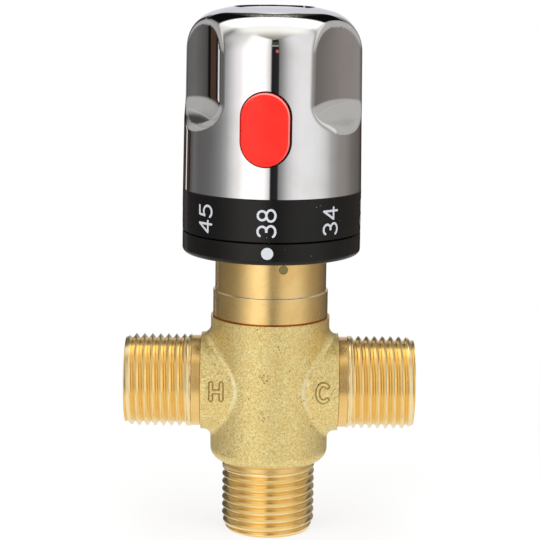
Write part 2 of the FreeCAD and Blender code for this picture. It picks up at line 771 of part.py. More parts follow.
def make_catch_slide():
    """Behind the button: the boss that it snaps on, a stop flange, and the finger down to the stop tab."""
    back = -guide_depth + slide_thickness
    width = button_width + 2 * slide_overlap + 2 * slide_gap
    height = button_height + 2 * slide_overlap + 2 * slide_gap
    inner_width = button_width - 2 * button_wall - 2 * fit_gap
    boss = obround(inner_width, inner_width + button_height - button_width, -guide_depth - 1.5, -guide_depth)
    flange = obround(width, height, -guide_depth, back)
    floor_z = ring_seat_z + stop_ring_floor
    finger = block(-finger_width / 2, finger_width / 2, -guide_depth, back, floor_z + 3 * slide_gap, button_z)
    foot = block(-finger_width / 2, finger_width / 2, -guide_depth - finger_foot, -guide_depth,
                 floor_z + 3 * slide_gap, floor_z + stop_tab_height - 3 * slide_gap)
    cup = Part.makeCylinder(2.6 + button_wire, 0.6, Vector(0, back - 0.6, button_z), Vector(0, 1, 0))
    return fused(boss, flange, finger, foot).cut(cup)


def make_button_spring():
    """Between the cup in the slide's back and the knob's post."""
    front = -guide_depth + slide_thickness - 0.6
    spring = coil(2.3, button_wire, -post_r - front, button_turns)
    spring.rotate(Vector(0, 0, 0), Vector(1, 0, 0), -90)
    spring.translate(Vector(0, front, button_z))
    return spring


# ---- Inlet fittings, built up the Z axis with z the distance from the valve's axis ----

def make_strainer():
    """A pressed disc with a grid of square holes, against the check valve's outer end."""
    outer_r = inlet_bore_r - slide_gap
    z0 = inlet_reach - check_depth
    disc = rod(outer_r, z0, z0 + strainer_thickness)
    holes = []
    steps = int(outer_r / strainer_pitch)
    half = strainer_hole / 2
    for i in range(-steps, steps + 1):
        for j in range(-steps, steps + 1):
            x, y = i * strainer_pitch, j * strainer_pitch
            if hypot(abs(x) + half, abs(y) + half) < check_bore_r:
                holes.append(block(x - half, x + half, y - half, y + half, z0, z0 + strainer_thickness))
    return disc.cut(holes)


def check_levels():
    """Outer end, seat, near side of the spider, and inner end of a check valve."""
    top = inlet_reach - check_depth
    return top, top - check_seat_thickness, top - check_length + check_spider_thickness, top - check_length


def make_check_housing():
    """A sleeve with the seat at its outer end and a three-armed spider at its inner end."""
    top, seat, spider_top, foot = check_levels()
    outer_r = inlet_bore_r - slide_gap
    shell = turned((check_bore_r, foot), (outer_r - 0.4, foot), (outer_r, foot + 0.4), (outer_r, top),
                   (check_seat_r, top), (check_seat_r + 0.5, seat), (check_bore_r, seat))
    shell = shell.cut(groove(check_ring_wire, inlet_bore_r, seat - check_ring_drop))
    arms = around(block(0, check_bore_r + 0.3, -check_arm / 2, check_arm / 2, foot, spider_top), 3, 30)
    housing = fused(shell, rod(check_hub_r, foot, spider_top), *arms)
    return housing.cut(rod(stem_r + slide_gap, foot, spider_top))


def make_poppet():
    """The disc that closes on the seat, and the stem that runs in the spider's hub."""
    top, seat, spider_top, foot = check_levels()
    back = seat - poppet_thickness
    return turned((0, foot - 0.4), (stem_r - 0.3, foot - 0.4), (stem_r, foot), (stem_r, back),
                  (poppet_r, back), (poppet_r, seat - 0.3), (poppet_r - 0.3, seat),
                  (check_seat_r - 0.6, seat), (0, seat + 0.5))


def make_check_spring():
    """Between the spider and the poppet's back."""
    top, seat, spider_top, foot = check_levels()
    length = seat - poppet_thickness - spider_top
    spring = coil(check_hub_r - check_wire - fit_gap, check_wire, length, check_turns)
    spring.translate(Vector(0, 0, spider_top))
    return spring


def make_check_ring():
    """Seals the check valve in its bore."""
    top, seat, spider_top, foot = check_levels()
    return rubber_ring(check_ring_wire, inlet_bore_r, seat - check_ring_drop)


# ---- The pieces ----

def turned_with_knob(shape):
    return turn_about_z(shape, knob_angle)


pieces = {
    "valve_body": make_body(),
    "cage": make_cage(),
    "cage_o_rings": Part.Compound([rubber_ring(cage_ring_wire, main_bore_r, z) for z in cage_ring_heights()]),
    "cold_seat": make_cold_seat(),
    "shuttle": make_shuttle(),
    "shuttle_o_ring": rubber_ring(shuttle_ring_wire, cage_bore_r, port_z),
    "wax_element": make_wax_element(),
    "element_clip": open_ring(web_hub_r - 0.2, sleeve_r + fit_gap, hub_top_z, hub_top_z + clip_height, 3.0),
    "wax_rod": rod(rod_r, rod_bore_z + rod_play, rod_top_z),
    "return_spring": make_return_spring(),
    "bonnet": make_bonnet(),
    "bonnet_o_ring": rubber_ring(bonnet_ring_wire, neck_bore_r, bonnet_ring_z),
    "locating_pin": make_locating_pin(),
    "regulating_nut": make_nut(),
    "nut_clip": open_ring(nut_cavity_r + 0.35, nut_cavity_r - 1.2, nut_clip_z, pusher_z, 3.5),
    "pusher": make_pusher(),
    "overload_spring": make_overload_spring(),
    "spindle": make_spindle(),
    "spindle_o_rings": Part.Compound(
        [rubber_ring(spindle_ring_wire, spindle_bore_r, z) for z in spindle_ring_heights()]),
    "thrust_washer": tube(relief_r - slide_gap, spindle_bore_r, washer_z, shoulder_z),
    "spindle_clip": open_ring(spindle_clip_r, clip_root_r + fit_gap, bonnet_top_z + slide_gap,
                              bonnet_top_z + slide_gap + clip_height, 4.0),
    "stop_ring": make_stop_ring(),
    "scale_ring": make_scale_ring(),
    "knob_shell": turned_with_knob(make_knob_shell()),
    "top_cap": make_top_cap(),
    "knob_screw": make_knob_screw(),
    "release_button": turned_with_knob(make_button()),
    "catch_slide": turned_with_knob(make_catch_slide()),
    "button_spring": turned_with_knob(make_button_spring()),
}

inlet_pieces = {
    "strainer": make_strainer(),
    "check_housing": make_check_housing(),
    "check_o_ring": make_check_ring(),
    "check_poppet": make_poppet(),
    "check_spring": make_check_spring(),
}
for port, side in (("hot", -1), ("cold", 1)):
    for name, shape in inlet_pieces.items():
        pieces[port + "_" + name] = to_inlet(shape, side)

for name, shape in pieces.items():
    assert shape.isValid(), name + " is not a valid solid"
    print(name, len(shape.Solids), "solid", round(shape.Volume, 2), "mm3")
    shape.exportStep("parts/" + name + ".step")
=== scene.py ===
import json
from math import atan2, ceil, cos, pi, radians, sin, sqrt

import bpy
import numpy as np
from mathutils import Matrix, Vector


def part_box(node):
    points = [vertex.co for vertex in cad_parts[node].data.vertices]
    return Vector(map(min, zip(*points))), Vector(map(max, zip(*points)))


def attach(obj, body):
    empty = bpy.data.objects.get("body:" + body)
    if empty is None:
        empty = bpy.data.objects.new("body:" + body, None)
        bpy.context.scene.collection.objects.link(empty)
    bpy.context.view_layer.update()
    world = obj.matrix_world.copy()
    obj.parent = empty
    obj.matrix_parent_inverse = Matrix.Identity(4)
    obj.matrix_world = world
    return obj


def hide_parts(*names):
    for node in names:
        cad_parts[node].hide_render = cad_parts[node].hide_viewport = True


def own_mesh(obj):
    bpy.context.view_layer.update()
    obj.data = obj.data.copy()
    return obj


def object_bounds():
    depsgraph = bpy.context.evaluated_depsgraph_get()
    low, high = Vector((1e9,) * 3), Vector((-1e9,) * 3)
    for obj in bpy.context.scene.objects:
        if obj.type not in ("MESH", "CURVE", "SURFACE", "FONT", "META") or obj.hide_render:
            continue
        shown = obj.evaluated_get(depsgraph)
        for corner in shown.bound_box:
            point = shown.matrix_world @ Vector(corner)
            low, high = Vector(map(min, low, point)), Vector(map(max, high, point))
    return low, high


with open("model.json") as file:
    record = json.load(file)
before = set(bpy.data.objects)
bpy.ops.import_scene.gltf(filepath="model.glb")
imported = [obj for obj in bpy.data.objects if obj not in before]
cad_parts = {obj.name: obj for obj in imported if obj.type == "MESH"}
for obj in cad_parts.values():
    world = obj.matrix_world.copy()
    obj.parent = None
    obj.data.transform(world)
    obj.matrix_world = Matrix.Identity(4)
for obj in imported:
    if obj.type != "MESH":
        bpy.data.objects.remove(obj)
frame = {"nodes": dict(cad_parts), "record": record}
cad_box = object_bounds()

# A thermostatic mixing valve, dressed on its CAD frame. Lengths are in metres, and those given in
# millimetres are written times MM; the knob's own sizes are plain millimetres above the knob's foot.
# +Z runs up the valve's axis from the outlet's end, the front faces -Y, the hot inlet points to -X.

MM = 0.001

# ---- Places that the frame gives ----

mounts = {mount["name"]: mount for mount in frame["record"]["mounts"]}
PORT_Z = mounts["hot_inlet"]["pos_m"][2]
THREAD_R = mounts["mixed_outlet"]["dims"]["r_mm"] * MM
INLET_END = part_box("valve_body")[1].x
RING_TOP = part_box("scale_ring")[1]
RING_R = RING_TOP.x
KNOB_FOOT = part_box("knob_shell")[0]
PIN_LOW, PIN_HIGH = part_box("locating_pin")

# ---- Sizes that more than one piece or finish uses ----

# How far the knob, its scale and the setting dot stand turned from the front.
KNOB_TURN = radians(-4.5)
SCALE_TURN = radians(-3.2)
STOP_TURN = radians(-2.5)
# The threads' form and lengths, and the plain collar behind each, which slopes up to its thread.
THREAD_PITCH = 1.8143 * MM
THREAD_DEPTH = 1.0 * MM
OUTLET_THREAD = 14.7 * MM
INLET_THREAD = 14.8 * MM
COLLAR_R = 10.2 * MM
COLLAR_SLOPE = 0.32 * MM
COLLAR = 2.3 * MM
# The casting: the end of each inlet's boss, its turned foot, its rim under the neck, and its two rounds.
BOSS_END = INLET_END - INLET_THREAD - COLLAR
FOOT_Z = 16.2 * MM
RIM_Z = PORT_Z + 15.3 * MM
BOSS_R = 11.0 * MM
BARREL_R = 13.3 * MM
# Two patches of pits on the barrel's front.
PITTED = ((-1.2 * MM, -BARREL_R, PORT_Z + 3.5 * MM), (-1.2 * MM, -BARREL_R, PORT_Z - 5.2 * MM))
# The neck's lower sleeve, up to the joint line.
SLEEVE_R = 12.87 * MM
SLEEVE_TOP = RIM_Z + 6.06 * MM
# The pin's round end in the front of the neck.
PIN_R = (PIN_HIGH.z - PIN_LOW.z) / 2
PIN_TURN = radians(12.8)
PIN_END = (PIN_HIGH.x - PIN_R * cos(PIN_TURN), PIN_LOW.y + PIN_R * sin(PIN_TURN), (PIN_LOW.z + PIN_HIGH.z) / 2)


# ---- Shaders: Python arithmetic on sockets ----

class Socket:
    """One output in a node tree. Arithmetic on it adds Math nodes."""

    def __init__(self, shader, output):
        self.shader = shader
        self.output = output

    def __add__(self, other): return self.shader.math("ADD", self, other)
    def __radd__(self, other): return self.shader.math("ADD", other, self)
    def __sub__(self, other): return self.shader.math("SUBTRACT", self, other)
    def __rsub__(self, other): return self.shader.math("SUBTRACT", other, self)
    def __mul__(self, other): return self.shader.math("MULTIPLY", self, other)
    def __rmul__(self, other): return self.shader.math("MULTIPLY", other, self)
    def __truediv__(self, other): return self.shader.math("DIVIDE", self, other)
    def __rtruediv__(self, other): return self.shader.math("DIVIDE", other, self)
    def __gt__(self, other): return self.shader.math("GREATER_THAN", self, other)
    def __neg__(self): return self.shader.math("MULTIPLY", self, -1.0)
    def __abs__(self): return self.shader.math("ABSOLUTE", self)


class Shader:
    """Builds the node tree of one material, or of the world."""

    def __init__(self, tree):
        self.tree = tree
        tree.nodes.clear()

    def node(self, kind, settings=(), sockets=(), out=0):
        """Adds a node, sets it, then fills its sockets with numbers, colours or links."""
        made = self.tree.nodes.new("ShaderNode" + kind)
        for name, value in dict(settings).items():
            if name == "stops":
                fill_ramp(made.color_ramp, value)
            else:
                setattr(made, name, value)
        for name, value in dict(sockets).items():
            if isinstance(value, Socket):
                self.tree.links.new(value.output, made.inputs[name])
            elif value is not None:
                made.inputs[name].default_value = value
        return Socket(self, made.outputs[out]) if len(made.outputs) else made

    def math(self, operation, *values):
        return self.node("Math", {"operation": operation}, enumerate(values))

    def smooth(self, value, low, high):
        """0 below low, 1 above high, and an S-curve between them."""
        return self.node("MapRange", {"interpolation_type": "SMOOTHSTEP"},
                         {"Value": value, "From Min": low, "From Max": high})

    def band(self, value, low, high, soft):
        """1 between low and high, with soft edges."""
        return self.smooth(value, low - soft, low + soft) * (1 - self.smooth(value, high - soft, high + soft))

    def mix(self, factor, first, second, blend="MIX"):
        """Mixes two colours."""
        return self.node("Mix", {"data_type": "RGBA", "blend_type": blend},
                         {0: factor, 6: first, 7: second}, out=2)

    def noise(self, scale, detail=2.0, roughness=0.5, vector=None):
        return self.node("TexNoise", (), {"Vector": vector or self.position(), "Scale": scale, "Detail": detail,
                                          "Roughness": roughness})

    def cells(self, scale):
        """Distance from the nearest of many scattered points, in cells."""
        return self.node("TexVoronoi", (), {"Vector": self.position(), "Scale": scale})

    def ramp(self, value, stops):
        return self.node("ValToRGB", {"stops": stops}, {"Fac": value})

    def attribute(self, name):
        """A number kept at each vertex."""
        return self.node("Attribute", {"attribute_name": name}, out=2)

    def position(self):
        """Where a point is in the row frame, in metres."""
        return self.node("TexCoord", out=3)

    def parts(self, vector):
        """The three parts of a vector."""
        made = self.tree.nodes.new("ShaderNodeSeparateXYZ")
        self.tree.links.new(vector.output, made.inputs[0])
        return [Socket(self, output) for output in made.outputs]

    def radius(self, a, b):
        """Distance from an axis, from the two offsets across it."""
        return self.math("SQRT", a * a + b * b)

    def distance(self, place):
        """Distance from a place in the row frame."""
        return self.node("VectorMath", {"operation": "DISTANCE"}, {0: self.position(), 1: place}, out=1)

    def stretched(self, x, y, z):
        """The position with each axis scaled."""
        return self.node("VectorMath", {"operation": "MULTIPLY"}, {0: self.position(), 1: (x, y, z)})

    def bump(self, height, distance, strength=1.0):
        return self.node("Bump", (), {"Height": height, "Distance": distance, "Strength": strength})


def linear(red, green, blue):
    """The scene colour of a colour given as it is seen, each part from 0 to 255."""
    parts = [part / 255 for part in (red, green, blue)]
    return tuple(c / 12.92 if c <= 0.04045 else ((c + 0.055) / 1.055) ** 2.4 for c in parts) + (1.0,)


def fill_ramp(ramp, stops):
    """stops are (place, colour) pairs."""
    while len(ramp.elements) > 1:
        ramp.elements.remove(ramp.elements[-1])
    ramp.elements[0].position, ramp.elements[0].color = stops[0]
    for place, colour in stops[1:]:
        ramp.elements.new(place).color = colour


def finish_of(name, paint):
    """A material whose Principled sockets come from paint(shader)."""
    material = bpy.data.materials.new(name)
    material.use_nodes = True
    shader = Shader(material.node_tree)
    surface = shader.node("BsdfPrincipled", (), paint(shader))
    shader.node("OutputMaterial", (), {"Surface": surface})
    return material


# ---- Finishes ----

def polished_chrome(s):
    """Bright plating with a little orange peel and hairline wiping marks."""
    wipes = s.noise(900, 3, 0.6, s.stretched(1.0, 1.0, 0.05))
    haze = s.smooth(s.noise(140, 3), 0.45, 0.75)
    peel = s.noise(420, 2)
    return {
        "Base Color": s.mix(haze, linear(253, 253, 254), linear(247, 246, 245)),
        "Metallic": 1.0,
        "Roughness": 0.03 + 0.04 * wipes * haze,
        "Normal": s.bump(peel, 0.004 * MM, 0.5),
    }


def red_plastic(s):
    """Glossy moulded red, slightly mottled under its surface."""
    depth = s.noise(300, 3)
    return {
        "Base Color": s.mix(s.smooth(depth, 0.3, 0.7), linear(244, 46, 34), linear(238, 40, 30)),
        "Roughness": 0.28 + 0.1 * s.noise(900, 2),
        "Specular IOR Level": 0.3,
        "Normal": s.bump(s.noise(1800, 2), 0.01 * MM, 0.35),
    }


def button_red(s):
    """The moulded red, glossier and painted paler along the top and right of the rounded edge: a clear coat
    there, and a painted highlight.
    """
    painted = red_plastic(s)
    edge = s.attribute("edge")
    # Painted highlight: the rounded edge is mixed towards pale pink, most at the top right, where the light
    # catches it.
    painted["Base Color"] = s.mix(edge * 0.6, painted["Base Color"], linear(255, 196, 186))
    painted["Coat Weight"] = edge
    return painted


def satin_black_plastic(s):
    """Moulded black with a fine spark-eroded grain, a few chips along the scale's top edge, and dust."""
    grain = s.noise(5200, 2)
    rub = s.smooth(s.noise(260, 4, 0.6), 0.5, 0.8)
    x, y, z = s.parts(s.position())
    top_edge = s.smooth(z, RING_TOP.z - 0.34 * MM, RING_TOP.z - 0.26 * MM)
    chips = top_edge * (1 - s.smooth(s.cells(520), 0.14, 0.2))
    dust = (1 - s.smooth(s.cells(760), 0.05, 0.07)) * s.smooth(s.noise(170, 2), 0.56, 0.6)
    colour = s.mix(rub, linear(9, 8, 7), linear(17, 15, 13))
    return {
        "Base Color": s.mix(s.math("MAXIMUM", chips, dust * 0.5), colour, linear(196, 196, 192)),
        "Roughness": 0.24 + 0.08 * grain,
        "Specular IOR Level": 0.34,
        "Normal": s.bump(grain, 0.012 * MM, 0.5),
    }


def turned_brass(s):
    """Fine rings left by the tool and small pits, with painted light: a highlight on the ledge at the joint,
    and shade in the step at the rim and round the pin.
    """
    x, y, z = s.parts(s.position())
    rings = s.noise(1.0, 3, 0.7, s.node("CombineXYZ", (), {"X": 0.0, "Y": 0.0, "Z": z * 16000}))
    pits = 1 - s.smooth(s.cells(1400), 0.0, 0.16)
    few = s.smooth(s.noise(500, 2), 0.58, 0.66)
    stain = s.smooth(s.noise(160, 4, 0.65), 0.42, 0.75)
    colour = s.mix(stain, linear(255, 219, 148), linear(246, 204, 128))
    # Painted highlight: a near-white line on the ledge at the joint, where its top catches the light.
    ledge_highlight = s.band(z, SLEEVE_TOP - 0.22 * MM, SLEEVE_TOP + 0.05 * MM, 0.06 * MM)
    colour = s.mix(ledge_highlight * 0.8, colour, linear(255, 246, 224))
    # Painted shade: a dark orange line in the step where the sleeve stands on the rim.
    rim_step_shade = s.band(z, RIM_Z - 0.1 * MM, RIM_Z + 0.34 * MM, 0.1 * MM)
    colour = s.mix(rim_step_shade, colour, linear(176, 92, 16))
    # Painted shade: a dark ring round the pin's end, standing for the shadowed gap round it.
    pin_gap_shade = s.band(s.distance(PIN_END), PIN_R - 0.05 * MM, PIN_R + 0.15 * MM, 0.06 * MM)
    colour = s.mix(pin_gap_shade * 0.8, colour, linear(96, 70, 30))
    return {
        "Base Color": s.mix(pits * few * 0.75, colour, linear(92, 66, 32)),
        "Metallic": 1.0,
        "Roughness": 0.2 + 0.12 * rings + 0.06 * stain,
        "Normal": s.bump(rings - pits * few * 1.5, 0.012 * MM, 0.6),
    }


def body_brass(s):
    """Sand-cast between the collars and under the rim; turned on the neck, the collars and the threads."""
    x, y, z = s.parts(s.position())
    side = abs(x)
    on_inlet = s.smooth(side, BOSS_END - 0.1 * MM, BOSS_END + 0.1 * MM)
    on_foot = 1 - s.smooth(z, FOOT_Z - 0.1 * MM, FOOT_Z + 0.1 * MM)
    on_neck = s.smooth(z, RIM_Z - 0.05 * MM, RIM_Z + 0.1 * MM)
    machined = s.math("MAXIMUM", on_inlet, s.math("MAXIMUM", on_foot, on_neck))
    cast = 1 - machined
    sand = s.noise(2600, 4, 0.7)
    lumps = s.noise(420, 3, 0.6)
    grit = s.smooth(s.noise(3600, 3, 0.6), 0.58, 0.78)
    pits = (1 - s.smooth(s.cells(900), 0.0, 0.2)) * s.smooth(s.noise(300, 3), 0.56, 0.64)
    grain = s.smooth(s.noise(3000, 3, 0.7), 0.4, 0.6) * 0.8 + s.smooth(s.noise(1300, 2), 0.35, 0.65) * 0.2
    cast_colour = s.mix(grain, linear(224, 186, 104), linear(255, 246, 184))
    cast_colour = s.mix(s.smooth(s.noise(120, 4, 0.6), 0.35, 0.7) * 0.35, cast_colour, linear(234, 202, 124))
    # Painted highlight: a pale line along the edge where the boss's round meets the barrel's.
    from_both = abs(s.radius(y, z - PORT_Z) - BOSS_R) + abs(s.radius(x, y) - BARREL_R)
    blend_edge_highlight = 1 - s.smooth(from_both, 0.1 * MM, 0.42 * MM)
    cast_colour = s.mix(blend_edge_highlight * 0.6, cast_colour, linear(255, 248, 214))
    cast_colour = s.mix(grit * 0.6, cast_colour, linear(170, 132, 64))
    for place in PITTED:
        near = 1 - s.smooth(s.distance(place), 0.5 * MM, 1.7 * MM)
        pits = s.math("MAXIMUM", pits, near * (1 - s.smooth(s.cells(2100), 0.2, 0.36)) * 0.8)
    cast_colour = s.mix(pits * 0.8, cast_colour, linear(92, 60, 26))
    rings = s.noise(1.0, 3, 0.7, s.node("CombineXYZ", (), {"X": side * 9000, "Y": 0.0, "Z": 0.0}))
    turned_colour = s.mix(s.smooth(s.noise(220, 3), 0.35, 0.7), linear(255, 216, 142), linear(248, 204, 126))
    boss_line = s.band(side, BOSS_END - 0.1 * MM, BOSS_END + 0.16 * MM, 0.06 * MM)
    turned_colour = s.mix(boss_line, turned_colour, linear(196, 118, 36))
    height = cast * (sand * 0.55 + lumps * 0.7 - pits * 1.6) + machined * rings * 0.12
    return {
        "Base Color": s.mix(machined, cast_colour, turned_colour),
        "Metallic": 1.0 - 0.14 * cast,
        "Roughness": 0.22 + 0.12 * cast + 0.06 * rings,
        "Normal": s.bump(height, 0.17 * MM, 1.0),
    }


def thread_brass(s):
    """Painted light: the crests are painted pale as a highlight, and the roots darker and warmer as shade."""
    x, y, z = s.parts(s.position())
    on_inlet = abs(x) > BOSS_R
    radius = on_inlet * s.radius(y, z - PORT_Z) + (1 - on_inlet) * s.radius(x, y)
    # Painted light by radius: pale on the crests as a highlight, darker and warmer in the roots as shade.
    crest_highlight = s.smooth(radius, THREAD_R - THREAD_DEPTH, THREAD_R - 0.62 * THREAD_DEPTH)
    stain = s.noise(500, 3, 0.6)
    root = s.mix(stain, linear(252, 211, 126), linear(244, 195, 104))
    return {
        "Base Color": s.mix(crest_highlight, root, s.mix(stain, linear(255, 238, 192), linear(255, 228, 168))),
        "Metallic": 0.9,
        "Roughness": 0.17 + 0.1 * stain,
        "Normal": s.bump(s.noise(2400, 3), 0.01 * MM, 0.6),
    }


def letter_brass(s):
    """The casting's finish, painted darker in the grooves round a letter as their shade."""
    painted = body_brass(s)
    # Painted shade: darker where the groove attribute is high, in the trough round each letter.
    groove = s.attribute("groove")
    painted["Base Color"] = s.mix(groove * 0.75, painted["Base Color"], linear(150, 104, 36))
    return painted


def pin_metal(s):
    """A dull grey-green pin end."""
    grain = s.noise(3000, 3)
    return {
        "Base Color": s.mix(grain, linear(168, 156, 104), linear(140, 128, 82)),
        "Metallic": 0.7,
        "Roughness": 0.5,
        "Normal": s.bump(grain, 0.03 * MM, 0.8),
    }


def white_paint(s):
    """Pad-printed white, a little thin in places."""
    thin = s.smooth(s.noise(1500, 3, 0.7), 0.55, 0.8)
    return {
        "Base Color": s.mix(thin, linear(198, 200, 207), linear(178, 180, 188)),
        "Roughness": 0.5 + 0.1 * thin,
    }


def stainless_steel(s):
    """Drawn wire and turned pieces, marked along the drawing."""
    drawn = s.noise(3000, 3, 0.6, s.stretched(1.0, 1.0, 0.2))
    return {
        "Base Color": s.mix(drawn, linear(196, 196, 194), linear(168, 167, 164)),
        "Metallic": 1.0,
        "Roughness": 0.26 + 0.16 * drawn,
        "Normal": s.bump(drawn, 0.01 * MM, 0.5),
    }


def black_rubber(s):
    """Black rubber with a pale bloom."""
    bloom = s.smooth(s.noise(700, 4, 0.6), 0.45, 0.8)
    return {
        "Base Color": s.mix(bloom, linear(20, 20, 20), linear(44, 43, 42)),
        "Roughness": 0.55 + 0.2 * bloom,
        "Normal": s.bump(s.noise(3000, 3), 0.01 * MM, 0.5),
    }


def natural_plastic(s):
    """Cloudy off-white plastic."""
    cloud = s.noise(260, 4, 0.6)
    return {
        "Base Color": s.mix(cloud, linear(226, 222, 208), linear(206, 200, 184)),
        "Roughness": 0.38 + 0.14 * cloud,
        "Normal": s.bump(s.noise(3500, 2), 0.01 * MM, 0.4),
    }


paints = {
    "chromed_plastic": polished_chrome,
    "red_plastic": red_plastic,
    "black_plastic": satin_black_plastic,
    "turned_brass": turned_brass,
    "cast_brass": body_brass,
    "stainless_steel": stainless_steel,
    "black_rubber": black_rubber,
    "natural_plastic": natural_plastic,
}
finishes = {slot: finish_of(slot + "_finish", paint) for slot, paint in paints.items()}
thread_finish = finish_of("thread_finish", thread_brass)
print_finish = finish_of("dial_print", white_paint)
letter_finish = finish_of("letter_finish", letter_brass)
pin_finish = finish_of("pin_finish", pin_metal)
button_finish = finish_of("button_finish", button_red)

for name, node in frame["nodes"].items():
    slot = node.data.materials[0].name.split(".")[0]
    node.data.materials[0] = pin_finish if name == "locating_pin" else finishes[slot]


# ---- Mesh building ----

def new_piece(name, vertices, faces, material, body, sharp=35):
    """A mesh piece that rides on a body, smooth except over edges sharper than that angle."""
    mesh = bpy.data.meshes.new(name)
    mesh.from_pydata([tuple(v) for v in vertices], [], faces)
    mesh.shade_smooth()
    mesh.set_sharp_from_angle(angle=radians(sharp))
    mesh.materials.append(material)
    piece = bpy.data.objects.new(name, mesh)
    bpy.context.scene.collection.objects.link(piece)
    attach(piece, body)
    return piece


def between_rings(rings, around, closed=False):
    """Quads between neighbouring rings of vertices; closed adds those from the last ring to the first."""
    pairs = [(i, (i + 1) % rings) for i in range(rings if closed else rings - 1)]
    return [[i * around + k, i * around + (k + 1) % around, j * around + (k + 1) % around, j * around + k]
            for i, j in pairs for k in range(around)]


def slab_faces(quads, count):
    """The faces of a slab: its front, the same quads turned over count vertices on, then the rims between."""
    edges = {(q[k - 1], q[k]) for q in quads for k in range(4)}
    rims = sorted([b, a, a + count, b + count] for a, b in edges if (b, a) not in edges)
    return quads + [[k + count for k in reversed(q)] for q in quads] + rims


def turned_points(outline, around):
    """An outline of (radius, height) points in mm, turned about the valve's axis."""
    turns = [2 * pi * k / around for k in range(around)]
    return [(r * cos(turn) * MM, r * sin(turn) * MM, z * MM) for r, z in outline for turn in turns]


def helical_sleeve(length, around=96, rows=16):
    """A closed sleeve on the Z axis with a right-hand thread outside, its free end at z = length."""
    bore_r = THREAD_R - THREAD_DEPTH - 0.5 * MM
    end_chamfer, chamfer_slope = 0.92 * MM, 0.45
    crest_share, runout_share = 0.93, 0.6
    vertices, ids = [], {}

    def radius_at(column, z):
        phase = abs(2 * ((z / THREAD_PITCH - column / around) % 1.0) - 1)
        rise = min(phase / crest_share, 1.0)
        flank = rise * rise * (1.9 - 0.9 * rise)
        runout = min(max(z - COLLAR_SLOPE, 0.0) / (runout_share * THREAD_PITCH), 1.0)
        radius = THREAD_R - THREAD_DEPTH * (1 - flank) * runout
        slope_r = COLLAR_R + 0.01 * MM + (THREAD_R - COLLAR_R) * z / COLLAR_SLOPE
        return min(radius, slope_r, THREAD_R - end_chamfer + (length - z) * chamfer_slope)

    def corner(row, column):
        if column == around:
            row, column = row + rows, 0
        z = THREAD_PITCH * (row / rows + column / around)
        if z < 1e-9:
            key, z = ("root", column), 0.0
        elif z > length - 1e-9:
            key, z = ("end", column), length
        else:
            key = (row, column)
        if key not in ids:
            ids[key] = len(vertices)
            angle, radius = 2 * pi * column / around, radius_at(column, z)
            vertices.append((radius * cos(angle), radius * sin(angle), z))
        return ids[key]

    faces = []
    for row in range(-rows, ceil(length / THREAD_PITCH) * rows + 1):
        for column in range(around):
            cell = [corner(row, column), corner(row, column + 1),
                    corner(row + 1, column + 1), corner(row + 1, column)]
            ring = [c for k, c in enumerate(cell) if c != cell[k - 1]]
            if len(set(ring)) >= 3:
                faces.append(ring)
    bore = {}
    for end, z in (("root", 0.0), ("end", length)):
        for column in range(around):
            angle = 2 * pi * column / around
            bore[end, column] = len(vertices)
            vertices.append((bore_r * cos(angle), bore_r * sin(angle), z))
    for column in range(around):
        after = (column + 1) % around
        faces.append([ids["root", after], ids["root", column], bore["root", column], bore["root", after]])
        faces.append([ids["end", column], ids["end", after], bore["end", after], bore["end", column]])
        faces.append([bore["root", after], bore["root", column], bore["end", column], bore["end", after]])
    return np.array(vertices), faces


def to_port(points, direction, root):
    """Lays points built up the Z axis along a port, their z = 0 at the distance root from the port's start."""
    x, y, z = points.T
    if direction == 0:
        return np.stack([x, -y, root - z], 1)
    return np.stack([direction * (root + z), y, PORT_Z - direction * x], 1)


# ---- Body: the casting with its ends turned down, and a thread on each ----

def make_casting():
    """The CAD body's own surface, its three plain thread cylinders turned down so that the threads show."""
    source = frame["nodes"]["valve_body"]
    mesh = source.data.copy()
    mesh.name = "casting"
    points = np.array([v.co for v in mesh.vertices])
    x, y, z = points.T
    root_r = THREAD_R - THREAD_DEPTH - 0.1 * MM
    inlet_root = INLET_END - INLET_THREAD - 0.02 * MM
    around_x, around_z = np.hypot(y, z - PORT_Z), np.hypot(x, y)
    on_inlet = (np.abs(x) > inlet_root) & (around_x > root_r)
    on_outlet = (z < OUTLET_THREAD + 0.02 * MM) & (around_z > root_r)
    shrink = np.where(on_inlet, root_r / np.maximum(around_x, 1e-9), 1.0)
    points[:, 1] *= shrink
    points[:, 2] = PORT_Z + (points[:, 2] - PORT_Z) * shrink
    shrink = np.where(on_outlet, root_r / np.maximum(around_z, 1e-9), 1.0)
    points[:, 0] *= shrink
    points[:, 1] *= shrink
    mesh.vertices.foreach_set("co", points.astype(np.float32).ravel())
    mesh.update()
    casting = bpy.data.objects.new("casting", mesh)
    bpy.context.scene.collection.objects.link(casting)
    mesh.materials[0] = finishes["cast_brass"]
    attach(casting, "valve")
    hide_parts("valve_body")


make_casting()
inlet_root = INLET_END - INLET_THREAD - COLLAR_SLOPE
for name, length, direction, root in (("outlet_thread", OUTLET_THREAD, 0, OUTLET_THREAD + COLLAR_SLOPE),
                                      ("hot_thread", INLET_THREAD, -1, inlet_root),
                                      ("cold_thread", INLET_THREAD, 1, inlet_root)):
    points, faces = helical_sleeve(length + COLLAR_SLOPE)
    new_piece(name, to_port(points, direction, root), faces, thread_finish, "valve", sharp=50)


# ---- Springs: copies of the CAD coils ----

def make_spring(node, name, body):
    """A copy of a coil, with its own mesh and the steel finish, riding on its body in place of the CAD part."""
    mesh = frame["nodes"][node].data.copy()
    mesh.name = name
    mesh.materials[0] = finishes["stainless_steel"]
    coil = bpy.data.objects.new(name, mesh)
    bpy.context.scene.collection.objects.link(coil)
    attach(coil, body)
    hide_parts(node)
    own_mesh(coil)


make_spring("hot_check_spring", "hot_check_coil", "valve")
make_spring("cold_check_spring", "cold_check_coil", "valve")
make_spring("button_spring", "button_coil", "knob")
make_spring("return_spring", "return_coil", "valve")


